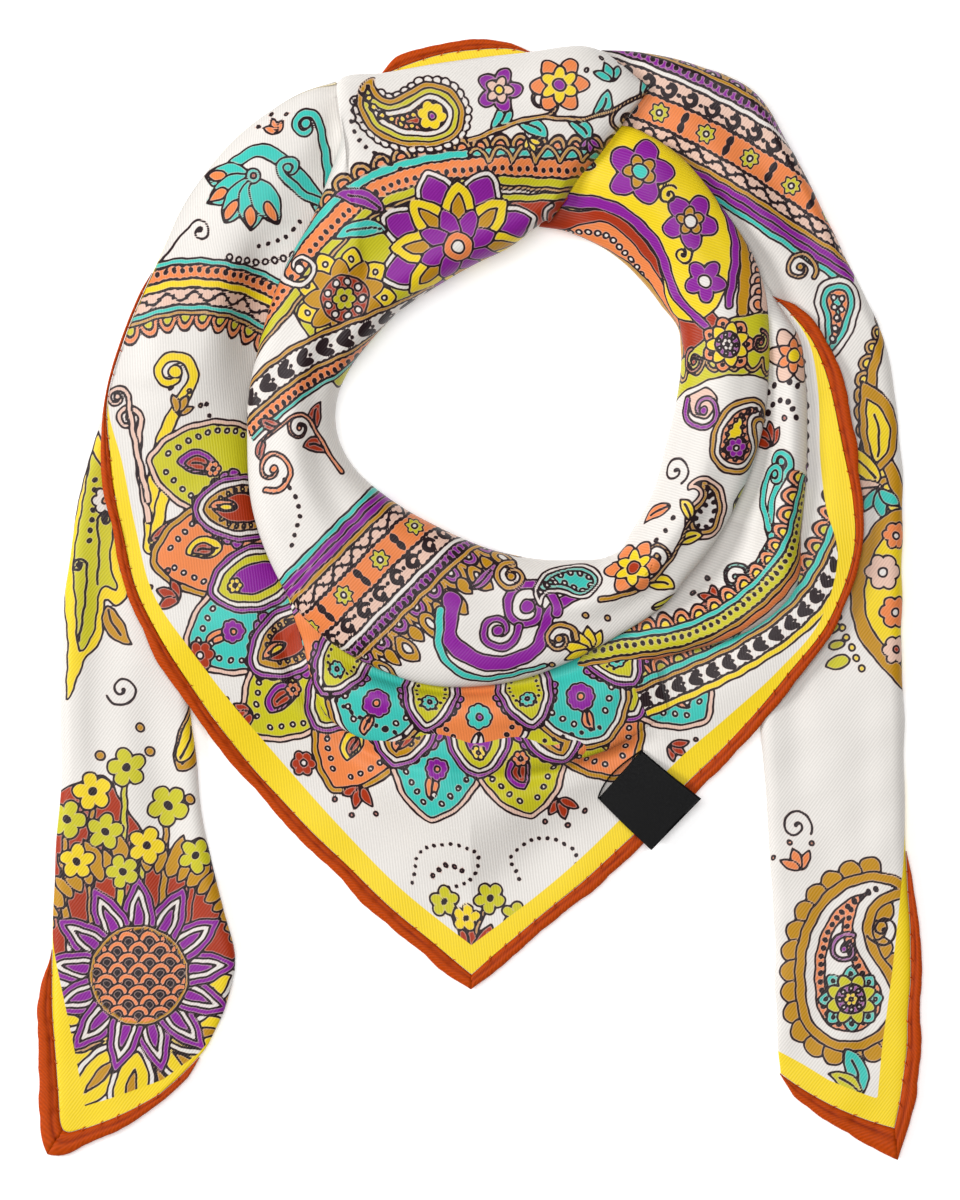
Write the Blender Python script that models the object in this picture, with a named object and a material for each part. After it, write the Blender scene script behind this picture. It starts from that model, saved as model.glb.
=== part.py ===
# Silk square scarf folded on the bias, rolled round a neck opening and laid flat face up,
# with its two ends crossed behind the neck and drawn down at either side.
# Lengths in the tables are millimetres; +X is right, +Y is the back of the neck, +Z is up.
import math
from collections import namedtuple

import bpy
from mathutils import Vector
from mathutils.bvhtree import BVHTree

MM = 0.001
GAP = 0.3              # air between two layers
LIP = 1.0              # least thickness of the folded silk, and of a rolled edge
REACH = 2.5            # how far round a point the layers below lift the cloth
SPOKES = 8             # directions in which that is felt
SKY = 99.0             # a height above everything
TUCK = 0.6             # share of a turn over which the underside comes back to what it rests on
EVEN_SHARE = 0.35      # how evenly the points across a section are spread
CLEARING_ROUNDS = 8    # an underside is lifted off what it cuts into this often at most,
CLEARING_PARTS = 5     # tried at this many steps along each triangle's sides,
CLEARING_REACH = 1.0   # with this much room round each place,
CLEARING_SLACK = 0.01  # until it cuts no deeper than this
ROLL_TURN = 11.0       # width over which a roll turns down at its edges
FOLD_TURN = 4.0        # the same at the folded edge of a tail
VALLEY_TURN = 6.0      # the same at the fold outside the right valley
SWAG_TURN = 9.0        # the same at the lower edge of the front swag
HEM_TURN = 2.2         # the same at a rolled hem
HEM_RISE = 0.9         # how far the rolled hem stands above the cloth beside it
HEM_EDGE = 0.6         # share of its height at which the rolled hem is widest
HEM_SPACING = 9.0      # between sections of hem along its run
HEM_ACROSS = 4         # steps across a hem
LABEL_SPACING = 6.0
LABEL_ACROSS = 4
LABEL_THICK = 1.0

COLOURS = {
    "silk": (0.84, 0.81, 0.77),
    "border": (1.0, 0.73, 0.02),
    "hem": (0.52, 0.07, 0.01),
    "label": (0.01, 0.01, 0.012),
}
ROUGHNESS = {"silk": 0.45, "border": 0.45, "hem": 0.5, "label": 0.4}

# Each row is one section across a stretch of cloth, from its inner to its outer edge in plan.
# in_lip and out_lip are the heights at those edges; near, mid and far are the heights of the top
# a quarter, half and three quarters of the way across. On hemmed cloth, hem is the width of the
# rolled hem beside the outer edge and turn the width over which that edge rounds. bow is how far
# the middle of a section bends to the right of the way from its inner to its outer edge.
Section = namedtuple(
    "Section",
    "in_x in_y out_x out_y in_lip near mid far out_lip hem turn bow",
    defaults=(0, 0, 0),
)
TIP_ROW = 15         # the row of the front panel at the square's front corner


def rows(*table):
    """The sections of a table, with 0 in the columns that a row leaves out."""
    return [Section(*row) for row in table]


COLLAR_BAND = rows(   # behind the neck, down the left side and across the front
    (21.5, 116.2, 52.5, 157.5, 12, 12.5, 13, 12.5, 11),
    (20.0, 116.8, 51.0, 160.0, 11, 16, 18, 15.5, 10),
    (9.5, 109.2, 34.5, 171.0, 9, 17, 20, 16, 8),
    (-1.8, 103.4, 12.5, 169.5, 8, 18, 22, 16, 8),
    (-14.5, 96.5, -9.0, 166.5, 7, 18, 22, 16, 8),
    (-24.5, 89.5, -29.0, 163.5, 7, 17, 21, 16, 9),
    (-29.9, 84.3, -43.5, 160.5, 7, 17, 21, 16, 9),
    (-35.0, 78.5, -42.5, 144.0, 7, 17, 20, 18, 10),
    (-40.0, 71.5, -50.0, 122.0, 7, 17, 20, 18, 11),
    (-43.5, 64.0, -60.0, 102.5, 6, 16, 19, 18, 12),
    (-44.5, 56.5, -68.5, 77.0, 6, 16, 19, 17, 12),
    (-43.0, 48.4, -72.0, 52.5, 6, 16, 19, 17, 12),
    (-38.7, 40.9, -70.0, 27.5, 6, 16, 19, 17, 12),
    (-31.0, 33.6, -58.5, -0.5, 6, 16, 18, 17, 12),
    (-19.8, 25.9, -41.5, -16.5, 6, 15, 18, 17, 11),
    (-5.5, 19.2, -18.5, -26.0, 6, 15, 18, 16, 11),
    (7.1, 14.6, 5.5, -26.5, 6, 15, 17, 16, 10),
    (22.0, 12.1, 28.0, -19.5, 6, 15, 17, 15, 10),
    (40.5, 13.5, 54.5, -4.0, 6, 15, 17, 14, 10),
)
RIGHT_ROLL = rows(    # from under the band behind the neck, down the right side
    (18.5, 115.5, 36.5, 143.5, 5, 8, 10, 10, 8),
    (27.4, 113.9, 45.5, 147.0, 5, 10, 13, 13, 9),
    (37.0, 109.7, 57.5, 141.0, 5, 11, 16, 17, 11),
    (44.2, 104.4, 67.5, 132.0, 5, 12, 17, 17, 12),
    (50.5, 97.9, 77.0, 119.5, 5, 13, 18, 17, 12),
    (56.0, 91.4, 84.5, 107.5, 6, 15, 18, 17, 12),
    (61.5, 84.6, 88.5, 96.0, 6, 16, 18, 17, 12),
    (62.6, 78.3, 90.0, 83.5, 6, 16, 18, 17, 11),
    (62.5, 71.0, 90.0, 71.0, 6, 16, 18, 17, 10),
    (60.6, 59.2, 88.0, 54.0, 6, 16, 18, 17, 10),
    (57.4, 46.3, 83.5, 38.0, 6, 16, 18, 16, 10),
    (53.9, 32.3, 75.5, 21.5, 6, 16, 18, 15, 10),
    (47.4, 21.5, 65.5, 8.0, 6, 15, 17, 15, 10),
    (41.0, 13.8, 55.0, -3.7, 6, 15, 17, 14, 10),
)
RIGHT_FOLD = rows(    # the valley beside the right roll and the fold outside it
    (83.5, 103.0, 87.0, 100.5, 9, 10, 10, 10, 9),
    (83.5, 92.5, 92.5, 92.5, 9, 10, 12, 12, 8),
    (82.5, 80.5, 99.5, 80.5, 8, 9, 12, 13, 8),
    (81.5, 66.5, 101.5, 66.5, 8, 8, 11, 14, 8),
    (79.5, 52.5, 102.0, 52.5, 8, 8, 10, 14, 8),
    (76.5, 40.0, 101.5, 38.5, 8, 7, 8, 14, 8),
    (72.5, 29.0, 100.0, 21.5, 7, 6, 8, 14, 7),
    (67.0, 20.0, 99.5, 6.0, 7, 6, 7, 13, 7),
    (62.5, 12.0, 92.0, -4.5, 7, 6, 8, 12, 6),
    (56.5, 4.5, 79.5, -12.0, 7, 7, 9, 11, 6),
    (50.0, -0.5, 65.5, -16.0, 7, 8, 9, 10, 6),
    (42.0, -6.0, 50.0, -19.5, 7, 8, 9, 9, 6),
    (33.5, -11.5, 37.5, -21.5, 7, 8, 8, 8, 6),
    (24.5, -16.5, 26.0, -22.5, 6, 7, 7, 7, 6),
)
FRONT_PANEL = rows(   # the corner that hangs in front, from the left shoulder round to the right
    (-36.0, 151.0, -44.7, 161.3, 6, 6, 7, 7, 5, 0, 5),
    (-37.5, 142.5, -59.1, 155.4, 8, 10, 11, 9, 5, 0, 6),
    (-41.5, 130.0, -76.0, 142.5, 8, 11, 13, 11, 5, 0, 7),
    (-46.0, 116.0, -91.1, 123.5, 8, 11, 14, 12, 6, 0, 7),
    (-54.0, 96.0, -100.6, 101.0, 8, 10, 14, 13, 9, 0.8, 4),
    (-60.0, 80.5, -109.9, 80.5, 8, 9, 13, 12, 9, 1, 2),
    (-64.0, 61.5, -115.0, 61.5, 8, 9, 12, 11, 9, 1, 1.5),
    (-65.0, 43.0, -113.8, 41.4, 8, 10, 11, 10, 9, 3.1, 1),
    (-63.0, 24.5, -110.7, 21.4, 8, 10, 11, 10, 9, 3.1, 1),
    (-58.5, 10.5, -105.5, 1.2, 8, 10, 11, 10, 9, 3.2, 1),
    (-52.5, -0.5, -96.1, -16.4, 8, 10, 11, 10, 9, 4.3, 1),
    (-44.5, -8.0, -82.0, -37.6, 8, 10, 10, 7, 6, 4.2, 1),
    (-35.5, -14.5, -66.8, -56.4, 8, 10, 10, 4, 2.2, 4.1, 1),
    (-24.5, -19.0, -47.2, -76.7, 8, 10, 10, 3, 1.8, 4.4, 1),
    (-13.5, -21.0, -25.4, -97.4, 8, 11, 10, 2.5, 1.8, 4.8, 1),
    (-3.0, -21.5, -2.3, -116.6, 8, 11, 9, 2.4, 1.8, 4.6, 1),
    (8.0, -20.0, 18.6, -98.7, 8, 11, 9, 2.4, 1.8, 3.8, 1),
    (17.5, -17.5, 35.0, -85.2, 8, 10, 9, 2.6, 1.8, 4.2, 1),
    (26.5, -13.5, 51.1, -70.1, 6, 9, 8, 3, 1.8, 4.2, 1),
    (36.0, -9.5, 65.5, -56.0, 4, 5, 6, 4, 2.0, 4.2, 1),
    (43.5, -5.0, 81.5, -40.2, 3, 4, 5, 6, 4.5, 3.8, 1),
    (50.0, -0.5, 95.6, -23.4, 3, 3, 4, 8, 8, 3.4, 1),
    (54.5, 4.5, 108.0, -7.4, 3, 3, 4, 9, 9, 2.6, 1),
    (59.0, 10.5, 115.8, 13.0, 3, 3, 4, 8.8, 9, 2.4, 1),
    (65.5, 18.5, 116.0, 30.5, 3, 3, 4, 8.6, 9, 3, 1),
    (71.5, 27.5, 112.6, 47.4, 3, 3, 4, 8.4, 9, 4.2, 1),
    (76.5, 40.0, 108.6, 66.5, 3, 3, 4, 8.2, 9, 4.6, 1),
    (79.5, 55.5, 103.4, 79.8, 3, 4, 5, 8.2, 9, 3.9, 1),
    (82.0, 71.0, 96.2, 89.0, 4, 4, 6, 7.5, 9, 3, 1),
    (83.5, 84.0, 90.8, 94.0, 5, 5, 6, 7, 9, 1, 1),
)
FRONT_SWAG = rows(    # the soft fold that sags across the front below the band
    (-60.0, 13.0, -61.5, 8.0, 10.5, 11, 11, 11, 10.8),
    (-54.0, -0.5, -57.0, -6.5, 11, 12, 12, 12, 10.8),
    (-47.5, -8.0, -53.0, -21.0, 11, 13, 13.5, 13, 10.6),
    (-37.5, -15.5, -46.5, -37.0, 11, 13.5, 14, 13, 10.2),
    (-25.0, -20.5, -29.5, -46.0, 11, 13.5, 14, 12, 8),
    (-12.5, -22.5, -15.0, -49.5, 11, 13.5, 13.5, 11, 6.5),
    (0.0, -22.5, -1.5, -51.5, 11, 13.5, 13.5, 11, 6),
    (12.5, -21.0, 12.5, -52.0, 11, 13, 13, 10.5, 6),
    (24.5, -17.5, 26.5, -51.0, 10, 12, 12, 10, 5.5),
    (35.5, -14.0, 39.5, -47.0, 9, 10, 10.5, 9, 5),
    (44.5, -13.0, 50.0, -41.5, 7.5, 8.5, 8.5, 7.5, 4.5),
    (53.0, -15.0, 59.0, -36.0, 6.5, 7, 7, 6.5, 5),
)
LEFT_TAIL = rows(     # from under the left shoulder down to the square's left corner
    (-74.0, 96.0, -90.0, 104.0, 3, 4, 4, 3.5, 2),
    (-78.0, 80.0, -109.0, 80.0, 3, 5, 5.5, 5, 2),
    (-82.0, 65.0, -114.5, 66.0, 3, 5.5, 6, 5.5, 2.5),
    (-85.0, 46.0, -118.7, 54.0, 3, 5.5, 6, 5.5, 2.5),
    (-86.5, 27.5, -122.8, 40.0, 3, 5.5, 6, 5.5, 2.5),
    (-88.0, 9.0, -126.0, 21.8, 3, 5.5, 6, 5.5, 2.5),
    (-89.5, -12.5, -129.2, -6.4, 3, 5.5, 6, 5.5, 2.5),
    (-89.5, -35.0, -130.0, -31.5, 3, 5.5, 6, 5.5, 2.5),
    (-87.0, -59.0, -129.8, -56.0, 2.8, 5, 5.5, 5, 2.5),
    (-84.3, -78.0, -131.7, -81.0, 2.6, 4.5, 5, 4.5, 2.5),
    (-79.2, -96.5, -132.7, -108.5, 2.4, 4.3, 4.6, 4, 2.2, 0.8),
    (-75.8, -112.0, -132.5, -123.0, 2.2, 4, 4.3, 3.5, 2, 4),
    (-78.2, -125.0, -131.8, -140.0, 2, 3.6, 3.8, 3, 2, 5.3),
    (-82.0, -134.0, -130.5, -154.0, 2, 3, 3.2, 2.6, 2, 6),
    (-86.8, -142.0, -129.0, -164.7, 2, 2.4, 2.4, 2.2, 2, 6),
    (-99.5, -153.8, -122.6, -164.5, 2, 2.2, 2.2, 2.2, 2, 5, 0, -0.8),
)
RIGHT_TAIL = rows(    # from under the band behind the neck down to the square's right corner
    (32.0, 143.0, 38.0, 170.4, 5, 5, 5, 5, 4),
    (36.5, 140.0, 49.5, 169.8, 5, 7, 7, 7, 4),
    (40.5, 137.0, 59.0, 168.4, 5, 8, 10, 9, 4),
    (46.5, 133.0, 69.0, 165.3, 5, 9, 11, 10, 4),
    (50.5, 130.0, 77.5, 162.4, 5, 9, 12, 10, 4),
    (56.0, 125.0, 87.5, 155.5, 5, 9, 12, 10, 4),
    (65.5, 117.5, 98.2, 137.7, 5, 9, 12, 10, 4),
    (73.0, 108.0, 106.5, 122.0, 4, 8, 11, 9, 4),
    (80.5, 96.0, 114.3, 105.5, 4, 7, 9, 8, 3.5),
    (85.5, 83.5, 123.3, 87.0, 3, 5.5, 7.5, 7, 3),
    (92.0, 68.0, 128.0, 71.0, 3, 5.5, 6.5, 6, 3),
    (95.0, 52.5, 130.4, 54.0, 3, 5.5, 6, 5.5, 2.5),
    (96.5, 30.5, 131.7, 34.0, 3, 5.5, 6, 5.5, 2.5),
    (95.0, 9.0, 131.4, 12.0, 3, 5.5, 6, 5.5, 2.5),
    (90.0, -16.0, 131.3, -12.5, 3, 5.5, 6, 5.5, 2.5),
    (87.6, -36.0, 132.0, -37.5, 3, 5.5, 6, 5.5, 2.5),
    (89.2, -62.5, 132.2, -59.0, 2.8, 5, 5.5, 5, 2.5),
    (90.4, -82.0, 132.4, -78.0, 2.6, 4.6, 5, 4.6, 2.4, 0.8),
    (91.9, -106.5, 133.8, -100.5, 2.4, 4.2, 4.4, 3.8, 2.2, 2.8),
    (92.3, -124.5, 134.0, -116.0, 2.2, 3.8, 4, 3.2, 2, 3.4),
    (92.9, -140.0, 132.3, -146.0, 2, 2.8, 3, 2.6, 2, 4.6),
    (93.6, -147.3, 129.0, -164.3, 2, 2.4, 2.4, 2.2, 2, 5.6, 0, 2),
)
UNDER_STRIP = rows(   # the other half of the crossing, whose hemmed edge shows behind the band
    (-33.0, 152.0, -31.0, 162.0, 2.5, 3, 3, 2.5, 2, 2),
    (-24.5, 153.0, -23.8, 165.3, 2.5, 3, 3, 2.5, 2, 3.6),
    (-13.0, 155.0, -12.0, 169.1, 2.5, 3, 3, 2.5, 2, 3.4),
    (-2.0, 156.5, -1.0, 170.6, 2.5, 3, 3, 2.5, 2, 3.2),
    (8.0, 156.5, 9.2, 170.9, 2.5, 3, 3, 2.5, 2, 2),
    (16.0, 156.0, 16.8, 169.4, 2.5, 3, 3, 2.5, 2, 1),
)
LABEL = rows(         # the woven label, which lies over the border and the hem
    (37.0, -62.0, 50.5, -47.0, 3.8, 4.2, 4.4, 4.2, 3.8),
    (45.0, -70.0, 59.5, -54.5, 4.6, 4.8, 4.8, 4.8, 4.6),
    (53.5, -78.0, 69.0, -62.0, 5.0, 5.0, 5.0, 5.0, 5.0),
)

# The rows of each table that a rolled hem runs beside, and the outer corners of the square.
FRONT_LEFT_ROWS = (4.0, 15.0)
FRONT_RIGHT_ROWS = (15.0, 29.0)
LEFT_SIDE_ROWS = (10.0, 14.0)
RIGHT_SIDE_ROWS = (17.0, 21.0)
BACK_ROWS = (0.0, 5.0)
FRONT_CORNER = (-2.5, -121.4)
LEFT_CORNER = (-134.2, -172.6)
RIGHT_CORNER = (130.2, -174.4)
LEFT_END_HEM = 4.6        # widths of the hems across the ends of the tails, which narrow to
RIGHT_END_HEM = 6.4
TURNED_HEM = 1.6          # this where they turn under the fold
END_HEIGHT = 2.0          # the cloth beside them


def blend(rows, at, sharp=()):
    """All columns at a place along the rows, on a smooth curve that turns a corner at sharp rows."""
    last = len(rows) - 1
    low = min(int(at), last - 1)
    t = at - low

    def slope(i):
        if i in sharp:
            return [0.0] * len(rows[i])
        a, b = rows[max(i - 1, 0)], rows[min(i + 1, last)]
        span = min(i + 1, last) - max(i - 1, 0)
        return [(q - p) / span for p, q in zip(a, b)]

    start, end = slope(low), slope(low + 1)
    h00 = 2 * t ** 3 - 3 * t ** 2 + 1
    h10 = t ** 3 - 2 * t ** 2 + t
    h01 = 3 * t ** 2 - 2 * t ** 3
    h11 = t ** 3 - t ** 2
    columns = zip(rows[low], start, rows[low + 1], end)
    return [h00 * p + h10 * m + h01 * q + h11 * n for p, m, q, n in columns]


def section_at(table, place, sharp=()):
    """The section at a place along a table, between its rows."""
    return Section(*blend(table, place, sharp))


def places_along(table, spacing, first=0.0, last=None, sharp=()):
    """Places along a table whose sections stand about one spacing apart at their wider ends."""
    last = len(table) - 1.0 if last is None else last
    if last <= first:
        return [first]
    rows_between = range(math.floor(first) + 1, math.ceil(last))
    stops = [first, *map(float, rows_between), last]
    places = [first]
    for a, b in zip(stops, stops[1:]):
        start, end = section_at(table, a, sharp), section_at(table, b, sharp)
        length = max(
            math.hypot(end.in_x - start.in_x, end.in_y - start.in_y),
            math.hypot(end.out_x - start.out_x, end.out_y - start.out_y),
        )
        steps = max(1, round(length / spacing))
        places += [a + (b - a) * (k + 1) / steps for k in range(steps)]
    return places


def point_across(section, u):
    """The point in plan at a share of the way across a section."""
    dx, dy = section.out_x - section.in_x, section.out_y - section.in_y
    bend = 4 * u * (1 - u) * section.bow / math.hypot(dx, dy)
    return section.in_x + dx * u + dy * bend, section.in_y + dy * u - dx * bend


def shoulder(distance, turn):
    """0 at a rolled edge, rising as a quarter circle to 1 at one turn's width from it."""
    if turn <= 0 or distance >= turn:
        return 1.0
    return math.sqrt(1 - (1 - distance / turn) ** 2)


def crown_height(section, across, turn_in, turn_out):
    """Height of the top at a share of the way across, before its edges turn down."""
    start = section.near if turn_in else section.in_lip
    end = section.far if turn_out else section.out_lip
    heights = [(start,), (section.near,), (section.mid,), (section.far,), (end,)]
    return blend(heights, across * (len(heights) - 1))[0]


class Layers:
    """The stretches laid so far, which the next ones rest on."""

    def __init__(self):
        self.trees = []

    def add(self, points, faces):
        self.trees.append(BVHTree.FromPolygons(points, faces))

    def height(self, x, y):
        """Height that a layer laid over a point has to keep, or 0 where the floor is bare."""
        top = 0.0
        for tree in self.trees:
            hit = tree.ray_cast(Vector((x, y, SKY)), Vector((0, 0, -1)))[0]
            if hit is not None:
                top = max(top, hit.z + GAP)
        return top

    def height_nearby(self, x, y, reach):
        """The greatest of those heights at a point and in a ring round it."""
        angles = [2 * math.pi * k / SPOKES for k in range(SPOKES)]
        around = [self.height(x + reach * math.cos(a), y + reach * math.sin(a)) for a in angles]
        return max([self.height(x, y)] + around)


def shares_across(count):
    """Shares of the way across that crowd towards the two edges, where the cloth turns."""
    even = [k / count for k in range(count + 1)]
    return [EVEN_SHARE * u + (1 - EVEN_SHARE) * (1 - math.cos(math.pi * u)) / 2 for u in even]


def grid_triangles(stations, count):
    """Both triangles of each cell of a grid, turned from across towards along."""
    for s in range(stations - 1):
        for k in range(count - 1):
            a = s * count + k
            b = a + count
            yield a, a + 1, b
            yield a + 1, b + 1, b


def clear_layers(under, stations, count, layers):
    """Raises an underside wherever one of its faces would cut into what lies below it."""
    steps = [k / CLEARING_PARTS for k in range(CLEARING_PARTS + 1)]
    shares = [(u, v) for u in steps for v in steps if u + v <= 1.0]
    for _ in range(CLEARING_ROUNDS):
        raised = False
        for triangle in grid_triangles(stations, count):
            a, b, c = (under[i] for i in triangle)
            for u, v in shares:
                point = a + (b - a) * u + (c - a) * v
                short = layers.height_nearby(point.x, point.y, CLEARING_REACH) - point.z
                if short > CLEARING_SLACK:
                    raised = True
                    for corner in (a, b, c):
                        corner.z += short
        if not raised:
            return


def loft(sections, layers, across, turn_in, turn_out, thick):
    """Points and faces of a closed stretch of cloth laid on the layers below it.

    turn_out is None where the sections give their own turn. A stretch thinner than the room
    under it bridges that room and keeps its thickness.
    """
    top, under = [], []
    for section in sections:
        width = math.hypot(section.out_x - section.in_x, section.out_y - section.in_y)
        in_turn = min(turn_in, width / 2)
        out_turn = min(section.turn if turn_out is None else turn_out, width / 2)
        for u in shares_across(across):
            x, y = point_across(section, u)
            crown = crown_height(section, u, turn_in, turn_out)
            base = max(layers.height_nearby(x, y, REACH), crown - thick)
            lip = min(section.in_lip if u < 0.5 else section.out_lip, crown)
            belly = max(lip - LIP, base)
            to_inner, to_outer = u * width, (1 - u) * width
            bulge = shoulder(to_inner, in_turn) * shoulder(to_outer, out_turn)
            tuck = shoulder(to_inner, in_turn * TUCK) * shoulder(to_outer, out_turn * TUCK)
            top.append(Vector((x, y, lip + (crown - lip) * bulge)))
            under.append(Vector((x, y, belly + (base - belly) * tuck)))
    clear_layers(under, len(sections), across + 1, layers)
    for high, low in zip(top, under):
        high.z = max(high.z, low.z + LIP)
    return close_loft(top, under, len(sections), across + 1, sections)


def close_loft(top, under, stations, count, sections):
    """Triangles over a top grid and the grid under it, joined round their edges."""
    first, second = sections[0], sections[1]
    across_x, across_y = first.out_x - first.in_x, first.out_y - first.in_y
    along_x = second.in_x + second.out_x - first.in_x - first.out_x
    along_y = second.in_y + second.out_y - first.in_y - first.out_y
    shift = len(top)
    faces = list(grid_triangles(stations, count))
    faces += [(a + shift, c + shift, b + shift) for a, b, c in faces]
    for s in range(stations - 1):
        a, b = s * count, (s + 1) * count
        faces.append((b, b + shift, a + shift, a))
        a, b = a + count - 1, b + count - 1
        faces.append((a, a + shift, b + shift, b))
    last = (stations - 1) * count
    for k in range(count - 1):
        faces.append((k, k + shift, k + 1 + shift, k + 1))
        a = last + k
        faces.append((a + 1, a + 1 + shift, a + shift, a))
    if across_x * along_y < across_y * along_x:      # the sections run the other way round
        faces = [face[::-1] for face in faces]
    return top + under, faces


def material(name):
    """A plain Principled material in one of the scarf's finishes."""
    found = bpy.data.materials.get(name)
    if found:
        return found
    made = bpy.data.materials.new(name)
    made.use_nodes = True
    shader = made.node_tree.nodes["Principled BSDF"]
    shader.inputs["Base Color"].default_value = (*COLOURS[name], 1)
    shader.inputs["Roughness"].default_value = ROUGHNESS[name]
    shader.inputs["Metallic"].default_value = 0.0
    made.diffuse_color = (*COLOURS[name], 1)
    return made


def add_piece(name, finish, points, faces, collection):
    """One named solid in metres, shaded smooth over its round stretches."""
    mesh = bpy.data.meshes.new(name)
    mesh.from_pydata([p * MM for p in points], [], faces)
    mesh.validate()
    mesh.materials.append(material(finish))
    mesh.shade_smooth()
    mesh.set_sharp_from_angle(angle=math.radians(40))
    piece = bpy.data.objects.new(name, mesh)
    collection.objects.link(piece)
    return piece


def hem_beside(edge, widths, heights, start_corner=None, end_corner=None):
    """Sections of rolled hem to the right of an edge; two hems meet at a corner on its mitre."""
    sections = []
    last = len(edge) - 1
    for i, (x, y) in enumerate(edge):
        a, b = edge[max(i - 1, 0)], edge[min(i + 1, last)]
        dx, dy = b[0] - a[0], b[1] - a[1]
        length = math.hypot(dx, dy)
        nx, ny = dy / length, -dx / length
        inner = (x + nx * GAP, y + ny * GAP)
        outer = (inner[0] + nx * widths[i], inner[1] + ny * widths[i])
        corner, back = (start_corner, 1) if i == 0 else (end_corner, -1)
        if i in (0, last) and corner:
            step = back * GAP / length
            inner = (inner[0] + dx * step, inner[1] + dy * step)
            outer = (corner[0] + dx * step, corner[1] + dy * step)
        top = heights[i] + HEM_RISE
        sections.append(Section(*inner, *outer, top * HEM_EDGE, top, top, top, top * HEM_EDGE))
    return sections


def side_hem(table, rows, backwards=False, sharp=(), start_corner=None, end_corner=None):
    """The rolled hem beside the outer edge of a stretch, between two of its rows."""
    places = places_along(table, HEM_SPACING, *rows, sharp)
    if backwards:
        places.reverse()
    sections = [section_at(table, place, sharp) for place in places]
    edge = [(section.out_x, section.out_y) for section in sections]
    widths = [section.hem for section in sections]
    heights = [section.out_lip for section in sections]
    return hem_beside(edge, widths, heights, start_corner, end_corner)


def end_hem(edge, width, start_corner=None, end_corner=None):
    """The rolled hem across the end of a tail, narrowing away from the square's corner."""
    last = len(edge) - 1
    shares = [i / last for i in range(last + 1)]
    if end_corner:
        shares.reverse()
    widths = [width + (TURNED_HEM - width) * share ** 2 for share in shares]
    return hem_beside(edge, widths, [END_HEIGHT] * len(edge), start_corner, end_corner)


def tail_end(table, last_side_row, steps):
    """The edge of a tail's end in plan, from its outer corner round to its inner one."""
    places = places_along(table, HEM_SPACING, last_side_row)
    sections = [section_at(table, place) for place in places]
    outer = [(section.out_x, section.out_y) for section in sections]
    inner = [(section.in_x, section.in_y) for section in reversed(sections)]
    across = [point_across(sections[-1], 1 - k / steps) for k in range(1, steps)]
    return outer + across + inner


def main():
    for old in list(bpy.data.objects):
        bpy.data.objects.remove(old, do_unlink=True)
    collection = bpy.data.collections.new("silk_square_scarf")
    bpy.context.scene.collection.children.link(collection)
    layers = Layers()

    def lay(name, finish, sections, across, turn_in, turn_out, thick=SKY):
        points, faces = loft(sections, layers, across, turn_in, turn_out, thick)
        add_piece(name, finish, points, faces, collection)
        return points, faces

    def stretch(name, table, spacing, across, turn_in, turn_out, sharp=(), finish="silk"):
        places = places_along(table, spacing, sharp=sharp)
        sections = [section_at(table, place, sharp) for place in places]
        return lay(name, finish, sections, across, turn_in, turn_out)

    def hem(name, sections):
        return lay(name, "hem", sections, HEM_ACROSS, HEM_TURN, HEM_TURN)

    def front_hem(name, rows, **corners):
        return hem(name, side_hem(FRONT_PANEL, rows, sharp=(TIP_ROW,), **corners))

    left_end = tail_end(LEFT_TAIL, LEFT_SIDE_ROWS[1], 4)
    right_end = tail_end(RIGHT_TAIL, RIGHT_SIDE_ROWS[1], 6)[::-1]
    right_side = side_hem(RIGHT_TAIL, RIGHT_SIDE_ROWS, backwards=True, start_corner=RIGHT_CORNER)
    on_the_floor = [
        stretch("left_tail", LEFT_TAIL, 11, 7, FOLD_TURN, FOLD_TURN),
        stretch("right_tail", RIGHT_TAIL, 11, 7, FOLD_TURN, FOLD_TURN),
        stretch("under_strip", UNDER_STRIP, 9, 4, 0, 0, finish="border"),
        hem("hem_left_side", side_hem(LEFT_TAIL, LEFT_SIDE_ROWS, end_corner=LEFT_CORNER)),
        hem("hem_left_end", end_hem(left_end, LEFT_END_HEM, start_corner=LEFT_CORNER)),
        hem("hem_right_side", right_side),
        hem("hem_right_end", end_hem(right_end, RIGHT_END_HEM, end_corner=RIGHT_CORNER)),
        hem("hem_back", side_hem(UNDER_STRIP, BACK_ROWS, backwards=True)),
    ]
    for solid in on_the_floor:
        layers.add(*solid)
    front_corner = [
        stretch("front_panel", FRONT_PANEL, 12, 9, 0, None, sharp=(TIP_ROW,)),
        front_hem("hem_front_left", FRONT_LEFT_ROWS, end_corner=FRONT_CORNER),
        front_hem("hem_front_right", FRONT_RIGHT_ROWS, start_corner=FRONT_CORNER),
    ]
    for solid in front_corner:
        layers.add(*solid)
    layers.add(*stretch("front_swag", FRONT_SWAG, 9, 7, 0, SWAG_TURN))
    layers.add(*stretch("right_fold", RIGHT_FOLD, 9, 8, 0, VALLEY_TURN))
    layers.add(*stretch("right_roll", RIGHT_ROLL, 7, 9, ROLL_TURN, ROLL_TURN))
    layers.add(*stretch("collar_band", COLLAR_BAND, 8, 10, ROLL_TURN, ROLL_TURN))
    label = [section_at(LABEL, place) for place in places_along(LABEL, LABEL_SPACING)]
    lay("label", "label", label, LABEL_ACROSS, 0, 0, LABEL_THICK)


main()
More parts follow.
